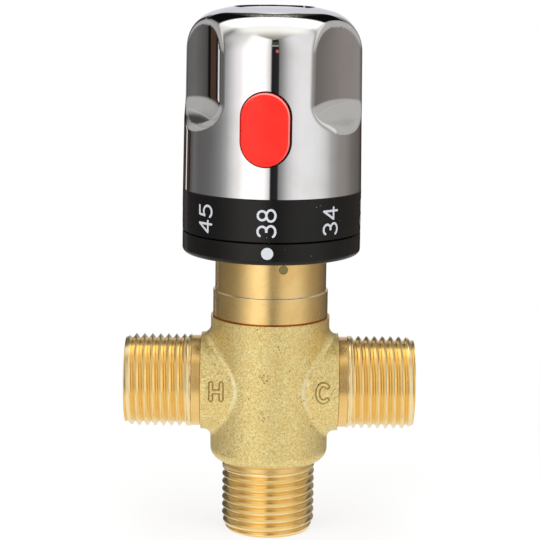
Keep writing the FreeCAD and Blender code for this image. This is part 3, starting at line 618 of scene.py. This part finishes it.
# ---- Drawn strokes: numbers and letters ----

def arc(cx, cy, rx, ry, start, end, steps=14):
    """Points of an elliptical arc, angles in degrees."""
    return [(cx + rx * cos(radians(start + (end - start) * i / steps)),
             cy + ry * sin(radians(start + (end - start) * i / steps))) for i in range(steps + 1)]


# Each digit is drawn in a box 0 to 1 wide and 0 to 1.6 tall, to the middle of its strokes.
DIGITS = {
    "0": [arc(0.5, 1.1, 0.5, 0.5, 0, 180) + arc(0.5, 0.5, 0.5, 0.5, 180, 360) + [(1.0, 1.1)]],
    "2": [arc(0.5, 1.12, 0.48, 0.48, 165, 0) + arc(0.3, 1.05, 0.66, 0.7, 0, -38, 6) + [(0.0, 0.0), (1.0, 0.0)]],
    "3": [arc(0.46, 1.19, 0.44, 0.41, 150, -90) + arc(0.46, 0.4, 0.5, 0.42, 90, -150)],
    "4": [[(0.72, 0.0), (0.72, 1.6), (0.0, 0.46), (1.0, 0.46)]],
    "5": [[(0.9, 1.6), (0.16, 1.6), (0.08, 0.9)] + arc(0.45, 0.5, 0.52, 0.52, 130, -145)],
    "6": [arc(0.5, 0.48, 0.48, 0.48, 0, 360), arc(1.02, 0.62, 1.0, 1.0, 186, 112, 10)],
    "8": [arc(0.5, 1.2, 0.4, 0.4, 0, 360), arc(0.5, 0.4, 0.5, 0.42, 0, 360)],
}


def distance_to(strokes, x, y):
    """Shortest distance from each point to the strokes' middle lines."""
    nearest = np.full(np.shape(x), 1e9)
    for stroke in strokes:
        for (ax, ay), (bx, by) in zip(stroke[:-1], stroke[1:]):
            dx, dy = bx - ax, by - ay
            along = np.clip(((x - ax) * dx + (y - ay) * dy) / max(dx * dx + dy * dy, 1e-12), 0, 1)
            nearest = np.minimum(nearest, np.hypot(x - ax - along * dx, y - ay - along * dy))
    return nearest


def stamped(strokes, half_width, cell):
    """Points and quads of a flat grid inside the strokes, its border moved onto their outline."""
    flat = np.array([p for stroke in strokes for p in stroke])
    low, high = flat.min(0) - half_width - 2 * cell, flat.max(0) + half_width + 2 * cell
    nx, ny = (int(ceil((high[k] - low[k]) / cell)) + 1 for k in (0, 1))
    x, y = np.meshgrid(low[0] + cell * np.arange(nx), low[1] + cell * np.arange(ny), indexing="ij")
    inside = distance_to(strokes, x + cell / 2, y + cell / 2)[:-1, :-1] < half_width
    used = np.zeros((nx, ny), bool)
    quads = []
    for i, j in zip(*np.nonzero(inside)):
        quads.append([(i, j), (i + 1, j), (i + 1, j + 1), (i, j + 1)])
        used[i:i + 2, j:j + 2] = True
    shared = np.zeros((nx, ny), int)
    for quad in quads:
        for corner in quad:
            shared[corner] += 1
    border = used & (shared < 4)
    step = cell * 0.02
    for _ in range(3):
        here = distance_to(strokes, x, y)
        slope_x = (distance_to(strokes, x + step, y) - here) / step
        slope_y = (distance_to(strokes, x, y + step) - here) / step
        off = np.where(border, np.clip(here - half_width, -0.7 * cell, 0.7 * cell), 0)
        x, y = x - off * slope_x, y - off * slope_y
    number = {corner: k for k, corner in enumerate(zip(*np.nonzero(used)))}
    points = np.array([(x[c], y[c]) for c in number])
    return points, [[number[c] for c in quad] for quad in quads]


def thickened(points, quads, low, high, place):
    """Closes a flat grid into a thin slab between two levels, each point laid by place(points, level)."""
    return np.concatenate([place(points, high), place(points, low)]), slab_faces(quads, len(points))


def on_drum(radius, turn, z):
    """Lays flat (right, up) points round a cylinder about the valve's axis, centred at that turn and height."""
    def place(points, level):
        angle, reach = turn + points[:, 0] / radius, radius + level
        return np.stack([reach * np.sin(angle), -reach * np.cos(angle), z + points[:, 1]], 1)
    return place


NUMBER_HEIGHT = 4.25 * MM
NUMBER_LENGTH = 6.3 * MM
STROKE = 0.24 * MM              # half a stroke's width
DIGIT_GAP = 0.4 * MM
PRINT = 0.03 * MM               # how far the print stands out, and goes in
DIAL_MARKS = {"38": 0, "45": -43, "50": -90, "34": 43, "30": 90, "26": 135, "22": 170}
DIAL_Z = 73.25 * MM
DOT_R, DOT_Z = 1.3 * MM, 66.7 * MM


def make_number(text, turn):
    """Two digits that read upwards."""
    tall = NUMBER_HEIGHT - 2 * STROKE
    wide = (NUMBER_LENGTH - DIGIT_GAP - 4 * STROKE) / 2
    strokes = []
    for place, digit in enumerate(text):
        start = -NUMBER_LENGTH / 2 + STROKE + place * (wide + 2 * STROKE + DIGIT_GAP)
        for stroke in DIGITS[digit]:
            strokes.append([(-(y / 1.6 * tall - tall / 2), start + x * wide) for x, y in stroke])
    points, quads = stamped(strokes, STROKE, 0.09 * MM)
    drum = on_drum(RING_R, SCALE_TURN + radians(turn), DIAL_Z)
    vertices, faces = thickened(points, quads, -PRINT, PRINT, drum)
    new_piece("number_" + text, vertices, faces, print_finish, "knob")


for text, turn in DIAL_MARKS.items():
    make_number(text, turn)

points, quads = stamped([[(0.0, 0.0), (1e-6, 0.0)]], DOT_R, 0.12 * MM)
vertices, faces = thickened(points, quads, -PRINT, PRINT, on_drum(RING_R, STOP_TURN, DOT_Z))
new_piece("setting_dot", vertices, faces, print_finish, "valve")

# Each letter's place along the inlets, and its strokes in mm from its middle.
LETTERS = {
    "H": (-11.8 * MM, [[(-1.15, -1.75), (-1.15, 1.75)], [(1.15, -1.75), (1.15, 1.75)],
                       [(-1.15, 0.0), (1.15, 0.0)]]),
    "C": (11.7 * MM, [arc(0.3, 0.0, 1.3, 1.95, 48, 312)]),
}


def make_letter(letter, x, strokes):
    """A cast letter: rounded ridges in a shallow trough, on a pad that runs out into the boss."""
    strokes = [[(px * MM, py * MM) for px, py in stroke] for stroke in strokes]
    cell, reach, thickness = 0.07 * MM, 3.6 * MM, 0.3 * MM
    ridge_height, ridge_half_width = 0.14 * MM, 0.36 * MM
    trough_depth, trough_place, trough_width = 0.16 * MM, 0.44 * MM, 0.15 * MM
    pad_height, pad_drop, pad_flat = 0.17 * MM, 0.25 * MM, 0.66
    steps = int(2 * reach / cell)
    side = steps + 1
    grid = np.linspace(-reach, reach, side)
    u, v = np.meshgrid(grid, grid, indexing="ij")
    away = distance_to(strokes, u, v)
    ridge = ridge_height * np.sqrt(np.clip(1 - (away / ridge_half_width) ** 2, 0, 1))
    groove = np.exp(-((away - trough_place) / trough_width) ** 2)
    edge = np.maximum(np.abs(u), np.abs(v)) / reach
    pad = pad_height - pad_drop * np.clip((edge - pad_flat) / (1 - pad_flat), 0, 1) ** 2
    angle = v / BOSS_R

    def on_boss(radius):
        return np.stack([x + u, -radius * np.cos(angle), PORT_Z + radius * np.sin(angle)], -1).reshape(-1, 3)

    face = on_boss(BOSS_R + pad + ridge - trough_depth * groove)
    vertices = np.concatenate([face, on_boss(BOSS_R - thickness)])
    quads = [[i * side + j, (i + 1) * side + j, (i + 1) * side + j + 1, i * side + j + 1]
             for i in range(steps) for j in range(steps)]
    faces = slab_faces(quads, side * side)
    piece = new_piece("letter_" + letter, vertices, faces, letter_finish, "valve")
    # The trough's depth kept at each vertex, for the shade painted in the grooves.
    groove_shade_layer = piece.data.attributes.new("groove", "FLOAT", "POINT")
    groove_shade_layer.data.foreach_set("value", np.concatenate([groove.ravel(), np.zeros(side * side)]).astype(np.float32))


for letter, (x, strokes) in LETTERS.items():
    make_letter(letter, x, strokes)


# ---- Knob: one smooth skin for the chrome, its button and its cap, in mm above the knob's foot ----

KNOB_FOOT_R, KNOB_SIDE_R, KNOB_HEIGHT = 19.85, 19.42, 40.65
DOME_R, SHOULDER_R = 49.0, 9.0
# Each scoop is a round hollow that runs down to a sloping floor; its edges are rounded off.
SCOOP_R, SCOOP_CENTRE, SCOOP_FLOOR, SCOOP_SLOPE = 62.7, 78.9, 13.85, radians(50.6)
SCOOP_ANGLES = (-30, 90, 210)
SCOOP_FILLET, LAND_ROUNDING = 1.7, 0.68
CAP_HOLE_R = 8.85
BUTTON_Z, BUTTON_HALF_WIDTH, BUTTON_HALF_STRAIGHT = 14.9, 5.6, 2.55
SKIN = 0.55
# Where the side's taper, the shoulder's round and the dome meet.
SHOULDER_RING_R = KNOB_SIDE_R - SHOULDER_R
DOME_Z = KNOB_HEIGHT - DOME_R
SHOULDER_RING_Z = DOME_Z + sqrt((DOME_R - SHOULDER_R) ** 2 - SHOULDER_RING_R ** 2)
TAPER = (KNOB_FOOT_R - KNOB_SIDE_R) / SHOULDER_RING_Z
KNOB_ROTATION = np.array([[cos(KNOB_TURN), sin(KNOB_TURN), 0],
                          [-sin(KNOB_TURN), cos(KNOB_TURN), 0],
                          [0, 0, 1]])


def rounded_max(a, b, radius):
    """The larger of two depths, with the corner between them rounded off."""
    a, b = a + radius, b + radius
    return np.minimum(np.maximum(a, b), 0) + np.hypot(np.maximum(a, 0), np.maximum(b, 0)) - radius


def knob_side(z):
    """Radius of the tapered side, which runs smoothly into the shoulder."""
    return KNOB_SIDE_R + TAPER * (SHOULDER_RING_Z + TAPER * SHOULDER_R - z)


def knob_depth(x, y, z):
    """How far a point is outside the knob's surface; negative inside."""
    r = np.hypot(x, y)
    over, out = z - SHOULDER_RING_Z, r - SHOULDER_RING_R
    shoulder = np.hypot(out, over) - SHOULDER_R
    dome = np.hypot(r, z - DOME_Z) - DOME_R
    on_dome = out * (SHOULDER_RING_Z - DOME_Z) < over * SHOULDER_RING_R
    depth = np.where(over > TAPER * np.maximum(out, 0), np.where(on_dome, dome, shoulder), r - knob_side(z))
    for angle in SCOOP_ANGLES:
        c, s = cos(radians(angle)), sin(radians(angle))
        out, across = x * c + y * s, y * c - x * s
        hollow = np.hypot(out - SCOOP_CENTRE, across) - SCOOP_R
        floor = -(out - KNOB_FOOT_R) * sin(SCOOP_SLOPE) - (z - SCOOP_FLOOR) * cos(SCOOP_SLOPE)
        depth = rounded_max(depth, -rounded_max(hollow, floor, SCOOP_FILLET), LAND_ROUNDING)
    return depth


def on_knob(points):
    """Points of the knob, turned as it stands and put in their place in the row frame."""
    return np.asarray(points) @ KNOB_ROTATION * MM + np.array([0, 0, KNOB_FOOT.z])


def skin_grid(around, rows):
    """Where rays from a circle inside the knob meet its surface: x, y and z as grids of around by rows."""
    ring_r, ring_z, far_enough, halvings = 5.0, 20.0, 60.0, 44
    tilt = atan2(SHOULDER_RING_R, SHOULDER_RING_Z - DOME_Z)
    last = np.arcsin(CAP_HOLE_R / DOME_R)
    aims = [(knob_side(z), z) for z in np.linspace(0, SHOULDER_RING_Z, 91)]
    aims += [(SHOULDER_RING_R + SHOULDER_R * cos(a), SHOULDER_RING_Z + SHOULDER_R * sin(a))
             for a in np.linspace(0, pi / 2 - tilt, 31)[1:]]
    aims += [(DOME_R * sin(a), DOME_Z + DOME_R * cos(a))
             for a in np.linspace(tilt, last, rows - len(aims) + 1)[1:]]
    aims = np.array(aims) - np.array([ring_r, ring_z])
    aims /= np.hypot(*aims.T)[:, None]
    theta = np.arange(around) * 2 * pi / around
    cos_t, sin_t = np.cos(theta)[:, None], np.sin(theta)[:, None]
    near, far = np.zeros((around, rows)), np.full((around, rows), far_enough)
    for _ in range(halvings):
        half = (near + far) / 2
        r, z = ring_r + half * aims[:, 0], ring_z + half * aims[:, 1]
        inside = knob_depth(r * cos_t, r * sin_t, z) < 0
        near, far = np.where(inside, half, near), np.where(inside, far, half)
    r, z = ring_r + near * aims[:, 0], ring_z + near * aims[:, 1]
    return r * cos_t, r * sin_t, z


def cut_slot(x, y, z):
    """Moves the grid's border round the button's slot onto the slot's outline, and finds the open cells."""
    around, rows = x.shape
    slot = [[(0.0, BUTTON_Z - BUTTON_HALF_STRAIGHT), (0.0, BUTTON_Z + BUTTON_HALF_STRAIGHT)]]
    after = (np.arange(around) + 1) % around

    def cell_mean(values):
        return (values[:, :-1] + values[:, 1:] + values[after][:, :-1] + values[after][:, 1:]) / 4

    open_cell = (distance_to(slot, cell_mean(x), cell_mean(z)) < BUTTON_HALF_WIDTH) & (cell_mean(y) < 0)
    touched, kept = np.zeros(x.shape, bool), np.zeros(x.shape, bool)
    for cells, mark in ((open_cell, touched), (~open_cell, kept)):
        for di in (0, 1):
            for dj in (0, 1):
                mark[:, dj:dj + rows - 1] |= np.roll(cells, di, axis=0)
    border = touched & kept
    step = 0.01
    for _ in range(4):
        here = distance_to(slot, x, z)
        slope_x = (distance_to(slot, x + step, z) - here) / step
        slope_z = (distance_to(slot, x, z + step) - here) / step
        off = np.where(border, here - BUTTON_HALF_WIDTH, 0)
        x, z = x - off * slope_x, z - off * slope_z
        y = np.where(border, -np.sqrt(np.maximum(knob_side(z) ** 2 - x ** 2, 0)), y)
    return x, y, z, open_cell


def surface_normals(points, step=0.004):
    """The knob surface's own normals, for reflections with no facets."""
    flat = points.T
    normals = np.stack([knob_depth(*(flat + step * np.eye(3)[k][:, None])) -
                        knob_depth(*(flat - step * np.eye(3)[k][:, None])) for k in range(3)], 1)
    return normals / np.linalg.norm(normals, axis=1)[:, None]


def make_knob_skin(around=320, rows=145):
    """The chromed shell: one smooth skin with three finger scoops, a slot and a hole for the cap."""
    x, y, z, open_cell = cut_slot(*skin_grid(around, rows))
    points = np.stack([x, y, z], -1).reshape(-1, 3)
    after = (np.arange(around) + 1) % around
    quads = [[i * rows + j, after[i] * rows + j, after[i] * rows + j + 1, i * rows + j + 1]
             for i, j in zip(*np.nonzero(~open_cell))]
    used = np.zeros(len(points), bool)
    used[np.array(quads).ravel()] = True
    number = np.cumsum(used) - 1
    quads = [[int(number[k]) for k in quad] for quad in quads]
    points = points[used]
    normals = surface_normals(points)
    faces = slab_faces(quads, len(points))
    vertices = on_knob(np.concatenate([points, points - normals * SKIN]))
    skin = new_piece("knob_skin", vertices, faces, finishes["chromed_plastic"], "knob")
    mesh = skin.data
    loops = np.zeros(len(mesh.loops), np.int32)
    mesh.loops.foreach_get("vertex_index", loops)
    shading = (np.concatenate([normals, -normals]) @ KNOB_ROTATION)[loops]
    for polygon in list(mesh.polygons)[2 * len(quads):]:
        for k in polygon.loop_indices:
            shading[k] = polygon.normal
    mesh.normals_split_custom_set(shading.tolist())
    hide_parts("knob_shell")


def make_button(around=96):
    """The release button: its face follows the knob's side and its edge is rounded. It sits low and left."""
    half_width, edge, depth = 5.36, 0.45, 2.4
    shift_x, shift_z, proud = -0.15, -0.08, 0.3
    insets = [edge * (1 - cos(a)) for a in np.linspace(0, pi / 2, 7)] + [1.0, 2.0, 3.2, 4.3, 5.1]
    angles = [2 * pi * (k + 0.5) / around for k in range(around)]
    vertices = []

    def add_outline(inset, level, back=0.0):
        for angle in angles:
            x = shift_x + (half_width - inset) * cos(angle)
            end = BUTTON_HALF_STRAIGHT * (1 if angle < pi else -1)
            z = BUTTON_Z + shift_z + (half_width - inset) * sin(angle) + end
            side = knob_side(z) + proud
            scale = 1 + level / side
            vertices.append((x * scale, -sqrt(side ** 2 - x ** 2) * scale + back, z))

    add_outline(0.0, -edge, depth)
    for inset in insets:
        add_outline(inset, -(edge - sqrt(edge ** 2 - max(edge - inset, 0) ** 2)))
    rings = len(insets) + 1
    last = (rings - 1) * around
    faces = between_rings(rings, around)
    for k in range(around // 2 - 1):
        faces.append([k, around - 1 - k, around - 2 - k, k + 1])
        faces.append([last + k, last + k + 1, last + around - 2 - k, last + around - 1 - k])
    button = new_piece("button_cap", on_knob(vertices), faces, button_finish, "button", sharp=60)
    # The painted highlight on the button's edge, strongest towards the top right where the light falls; it is
    # kept in the edge attribute.
    lit_side = [min(max(cos(angle - radians(50)) + 0.25, 0.0), 1.0) for angle in angles]
    edge_highlight = [0.0] * around
    for inset in insets:
        on_edge = max(0.0, 1 - abs(inset - 0.5 * edge) / (0.5 * edge))
        edge_highlight += [on_edge * share for share in lit_side]
    edge_highlight_layer = button.data.attributes.new("edge", "FLOAT", "POINT")
    edge_highlight_layer.data.foreach_set("value", np.array(edge_highlight, np.float32))
    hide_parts("release_button")


def turned_ring(name, outline, finish, body, around=128):
    """A ring turned about the valve's axis from a closed outline of (radius, height) points in mm."""
    faces = between_rings(len(outline), around, closed=True)
    return new_piece(name, turned_points(outline, around), faces, finish, body, sharp=25)


def make_cap(around=128):
    """The crowned disc over the screw, a little below the knob's dome, and a black ring in the bore round it,
    as painted shade in the gap.
    """
    rim_r, crown_r, edge, thickness = 8.35, 120.0, 0.16, 1.0
    foot = KNOB_FOOT.z / MM
    crown_z = foot + DOME_Z + sqrt(DOME_R ** 2 - CAP_HOLE_R ** 2) - 0.014
    crown = [(crown_r * sin(a), crown_z - crown_r * (1 - cos(a)))
             for a in np.linspace(rim_r / crown_r, 0, 24)[:-1]]
    edge_z = crown[0][1] - edge
    bend = [(rim_r + edge * cos(a), edge_z + edge * sin(a)) for a in np.linspace(0, pi / 2, 8)[:-1]]
    outline = [(rim_r + edge, edge_z - thickness)] + bend + crown
    vertices = turned_points(outline, around) + [(0.0, 0.0, crown_z * MM)]
    last = (len(outline) - 1) * around
    faces = between_rings(len(outline), around)
    faces += [[last + k, last + (k + 1) % around, len(vertices) - 1] for k in range(around)]
    faces.append(list(range(around))[::-1])
    cap = new_piece("cap_disc", vertices, faces, finishes["chromed_plastic"], "knob",
                    sharp=50)
    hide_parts("top_cap")
    # Painted shade: the bore wall round the cap is a black ring, standing for the dark gap behind the cap's
    # edge.
    bore_r, bore_inner_r, bore_depth = 8.84, 8.62, 1.3
    lip = foot + DOME_Z + sqrt(DOME_R ** 2 - bore_r ** 2) - 0.02
    outline = [(bore_inner_r, lip - bore_depth), (bore_r, lip - bore_depth), (bore_r, lip),
               (bore_inner_r + 0.04, lip)]
    turned_ring("cap_bore_shade", outline, finishes["black_plastic"], "knob")


def make_neck_sleeve():
    """The neck's lower, slightly wider part, up to the joint."""
    radius, inside, top, foot = SLEEVE_R / MM, 12.3, SLEEVE_TOP / MM, RIM_Z / MM - 0.3
    outline = [(inside, foot), (radius, foot), (radius, top - 0.12), (radius - 0.1, top), (inside, top)]
    turned_ring("neck_sleeve", outline, finishes["turned_brass"], "valve")


make_knob_skin()
make_button()
make_cap()
make_neck_sleeve()


# ---- Studio ----

# The studio as the polish shows it: (degrees from the front, colour), to the left and to the right.
LEFT_STUDIO = (
    (0, 34, 34, 36), (2.2, 36, 36, 38), (4.2, 215, 212, 210), (8, 240, 237, 236), (12, 252, 250, 249),
    (32, 252, 250, 249), (40, 244, 241, 239), (48, 230, 226, 225), (55, 200, 198, 198), (62, 162, 161, 161),
    (70, 132, 131, 131), (79, 113, 112, 112), (88, 100, 99, 99), (98, 94, 93, 93), (109, 92, 90, 90),
    (121, 103, 101, 100), (129, 84, 82, 81), (132, 74, 72, 70), (133.4, 16, 16, 16), (135.2, 18, 17, 16),
    (136, 72, 56, 46), (141.4, 68, 52, 42), (142.2, 14, 14, 14), (143.8, 14, 14, 14), (144.6, 226, 226, 228),
    (147.5, 236, 236, 238), (149, 20, 18, 17), (156, 76, 60, 50), (166, 60, 48, 40), (170, 14, 14, 14),
    (174, 250, 250, 252))
RIGHT_STUDIO = (
    (0, 34, 34, 36), (6.4, 42, 42, 44), (7.6, 120, 119, 118), (10, 136, 135, 134), (14, 162, 161, 160),
    (20, 198, 196, 196), (27, 221, 219, 219), (36, 230, 228, 228), (50, 228, 227, 227), (61, 221, 220, 219),
    (70, 205, 203, 202), (76, 186, 184, 183), (81, 164, 161, 160), (93, 143, 137, 132), (100, 138, 132, 128),
    (108, 134, 127, 123), (115, 124, 118, 114), (123, 111, 106, 102), (130, 104, 100, 95), (141, 98, 94, 90),
    (150, 88, 82, 77), (160, 62, 52, 46), (168, 14, 14, 14), (173, 250, 250, 252))
# The ceiling: (share of the half turn from behind, over the top, to the front; colour).
CEILING = (
    (0.0, 236, 236, 240), (0.03, 214, 214, 220), (0.1, 204, 204, 211), (0.17, 210, 210, 216),
    (0.186, 238, 238, 241), (0.3, 238, 237, 235), (0.334, 252, 250, 248), (0.6, 252, 250, 244),
    (0.635, 238, 236, 228), (0.665, 214, 212, 204), (0.7, 180, 178, 170), (0.74, 150, 148, 141),
    (1.0, 142, 140, 134))


def make_world():
    """A studio of soft panels and dark gaps for the polish to show; plain white to the camera."""
    world = bpy.data.worlds.new("studio")
    bpy.context.scene.world = world
    world.use_nodes = True
    s = Shader(world.node_tree)
    direction = s.node("TexCoord", out=0)
    x, y, z = s.parts(direction)
    bearing = s.math("ARCTAN2", x, -y) / pi * 180
    facing = abs(bearing) / 180
    rise = s.math("ARCSINE", z) / pi * 180
    over = s.math("ARCTAN2", z, y) / pi
    away = abs(x)
    behind = s.smooth(y, -0.15, 0.15)

    # The walls, with the window's frame in the dark gap between the front panels.
    left = s.ramp(facing, [(angle / 180, linear(*colour)) for angle, *colour in LEFT_STUDIO])
    right = s.ramp(facing, [(angle / 180, linear(*colour)) for angle, *colour in RIGHT_STUDIO])
    walls = s.mix(x > 0.0, left, right)
    haze = s.smooth(rise, 14.0, 40.0) * s.band(facing, 0.2, 0.42, 0.07) * (1 - behind) * 0.6
    walls = s.mix(haze, walls, linear(222, 221, 219))
    in_gap = s.band(bearing, -2.6, 6.6, 0.4)
    walls = s.mix(in_gap * s.band(rise, 28.0, 36.0, 1.0), walls, linear(72, 72, 68))
    walls = s.mix(in_gap * s.band(rise, 24.2, 27.2, 0.6), walls, linear(168, 168, 160))
    walls = s.mix(s.band(rise, 7.5, 15.0, 0.8) * s.band(bearing, 2.8, 6.4, 0.4), walls, linear(186, 106, 88))

    # The ceiling, dark low down behind, with a dark rafter across it.
    ceiling = s.ramp(over, [(place, linear(*colour)) for place, *colour in CEILING])
    low = (1 - s.smooth(over, 0.118, 0.136)) * s.smooth(away, 0.2, 0.27)
    low_colour = s.mix(s.smooth(away, 0.55, 0.61), linear(26, 25, 24), linear(108, 106, 104))
    low_colour = s.mix(x > 0.0, low_colour, linear(130, 126, 122))
    ceiling = s.mix(low, ceiling, low_colour)
    glints = s.smooth(s.noise(70, 3, 0.7, direction), 0.5, 0.6) * s.smooth(over, 0.225, 0.25)
    rafter_colour = s.mix(glints, linear(92, 89, 80), linear(226, 225, 218))
    rafter_colour = s.mix(s.smooth(away, 0.06, 0.2), rafter_colour, linear(13, 13, 13))
    rafter_colour = s.mix(s.smooth(x, 0.5, 0.58), rafter_colour, linear(140, 136, 131))
    streak = s.band(rise - 60 * facing, -24.0, -20.5, 1.2) * s.smooth(-x, 0.5, 0.58)
    rafter_colour = s.mix(streak * 0.8, rafter_colour, linear(120, 119, 117))
    rafter = s.smooth(over + 0.5 * away, 0.197, 0.205) * s.smooth(over, 0.122, 0.136)
    ceiling = s.mix(rafter * (1 - s.smooth(over, 0.3, 0.326)), ceiling, rafter_colour)
    dimmed = s.mix(0.6, ceiling, linear(196, 195, 192))
    ceiling = s.mix(s.smooth(away, 0.5, 0.72), ceiling, dimmed)
    top_light = s.band(over, 0.334, 0.5, 0.012) * (1 - s.smooth(away, 0.4, 0.6))
    ceiling = s.mix(top_light, ceiling, (0.7, 0.68, 0.62, 1.0), blend="ADD")

    # Where the ceiling comes down over the walls: low behind, and in a shallow V in front.
    edge = rise - 42.2 - s.math("MINIMUM", 60 * facing, 13.5)
    over_front = s.smooth(edge / (1.2 + 26 * s.math("MINIMUM", facing, 0.4)), -1.0, 1.0)
    lifted = s.math("MAXIMUM", over_front, behind * s.smooth(rise, -3.0, 3.0))
    seen = s.mix(lifted, walls, ceiling)
    left_panel = s.band(bearing, -40.0, -10.0, 6.0) * (1 - lifted)
    seen = s.mix(left_panel, seen, (0.2, 0.195, 0.19, 1.0), blend="ADD")
    seen = s.mix(1 - s.smooth(rise, -26.0, -11.0), seen, linear(238, 236, 231))
    glossy = s.node("Background", (), {"Color": seen, "Strength": 1.0})
    path = s.tree.nodes.new("ShaderNodeLightPath")
    plain = s.node("Background", (), {"Color": (1.0, 1.0, 1.0, 1.0), "Strength": 1.0})
    soft = s.node("Background", (), {"Color": (1.0, 1.0, 1.0, 1.0), "Strength": 0.55})
    lit = s.node("MixShader", (), {0: Socket(s, path.outputs["Is Diffuse Ray"]), 1: glossy, 2: soft})
    shown = s.node("MixShader", (), {0: Socket(s, path.outputs["Is Camera Ray"]), 1: lit, 2: plain})
    s.node("OutputWorld", (), {"Surface": shown})


def pale_floor(s):
    """Near white, and clearer the further out it is."""
    x, y, z = s.parts(s.position())
    speck = s.noise(60, 3)
    return {
        "Base Color": s.mix(speck, linear(246, 246, 247), linear(243, 243, 244)),
        "Roughness": 0.7,
        "Alpha": 0.24 - 0.24 * s.smooth(s.radius(x, y), 0.03, 0.2),
    }


def make_floor():
    """A round pale sheet that fades out into the white behind it."""
    radius, rings, around, height = 0.27, 12, 64, cad_box[0][2] - 0.02 * MM
    turns = [2 * pi * k / around for k in range(around)]
    vertices = [(0.0, 0.0, height)]
    for ring in range(1, rings + 1):
        r = radius * ring / rings
        vertices += [(r * cos(turn), r * sin(turn), height) for turn in turns]
    faces = [[0, 1 + k, 1 + (k + 1) % around] for k in range(around)]
    for ring in range(rings - 1):
        start, after = 1 + ring * around, 1 + (ring + 1) * around
        faces += [[start + k, after + k, after + (k + 1) % around, start + (k + 1) % around]
                  for k in range(around)]
    mesh = bpy.data.meshes.new("floor")
    mesh.from_pydata(vertices, [], faces)
    mesh.materials.append(finish_of("pale_floor", pale_floor))
    floor = bpy.data.objects.new("floor", mesh)
    bpy.context.scene.collection.objects.link(floor)
    floor.visible_glossy = False


def add_panel(name, place, aim, size, watts):
    """A soft square lamp, left out of reflections because the studio's own panels are there."""
    lamp = bpy.data.lights.new(name, "AREA")
    lamp.shape = "RECTANGLE"
    lamp.size, lamp.size_y = size
    lamp.energy = watts
    holder = bpy.data.objects.new(name, lamp)
    holder.location = place
    holder.rotation_euler = (Vector(aim) - Vector(place)).to_track_quat("-Z", "Y").to_euler()
    holder.visible_glossy = False
    holder.visible_camera = False
    bpy.context.scene.collection.objects.link(holder)


def add_camera():
    """Looks down a little on the valve's front from 43 cm."""
    eye = Vector((-0.2 * MM, -427.4 * MM, PORT_Z + 104.75 * MM))
    look_down, roll = radians(10.5), radians(0.785)
    lens = bpy.data.cameras.new("camera")
    lens.sensor_width = 36.0
    lens.lens = 129.13333
    lens.clip_start, lens.clip_end = 0.01, 20.0
    camera = bpy.data.objects.new("camera", lens)
    aim = Matrix.Rotation(pi / 2 - look_down, 4, "X") @ Matrix.Rotation(roll, 4, "Z")
    camera.matrix_world = Matrix.Translation(eye) @ aim
    bpy.context.scene.collection.objects.link(camera)
    bpy.context.scene.camera = camera


make_world()
make_floor()
middle = (0.0, 0.0, 0.06)
add_panel("left_panel", (-0.45, -0.6, 0.28), middle, (0.4, 0.6), 3.2)
add_panel("right_panel", (0.5, -0.5, 0.25), middle, (0.4, 0.6), 2.3)
add_panel("top_panel", (0.0, -0.1, 0.8), middle, (0.6, 0.6), 2.9)
add_camera()
bpy.context.scene.view_settings.view_transform = "Standard"
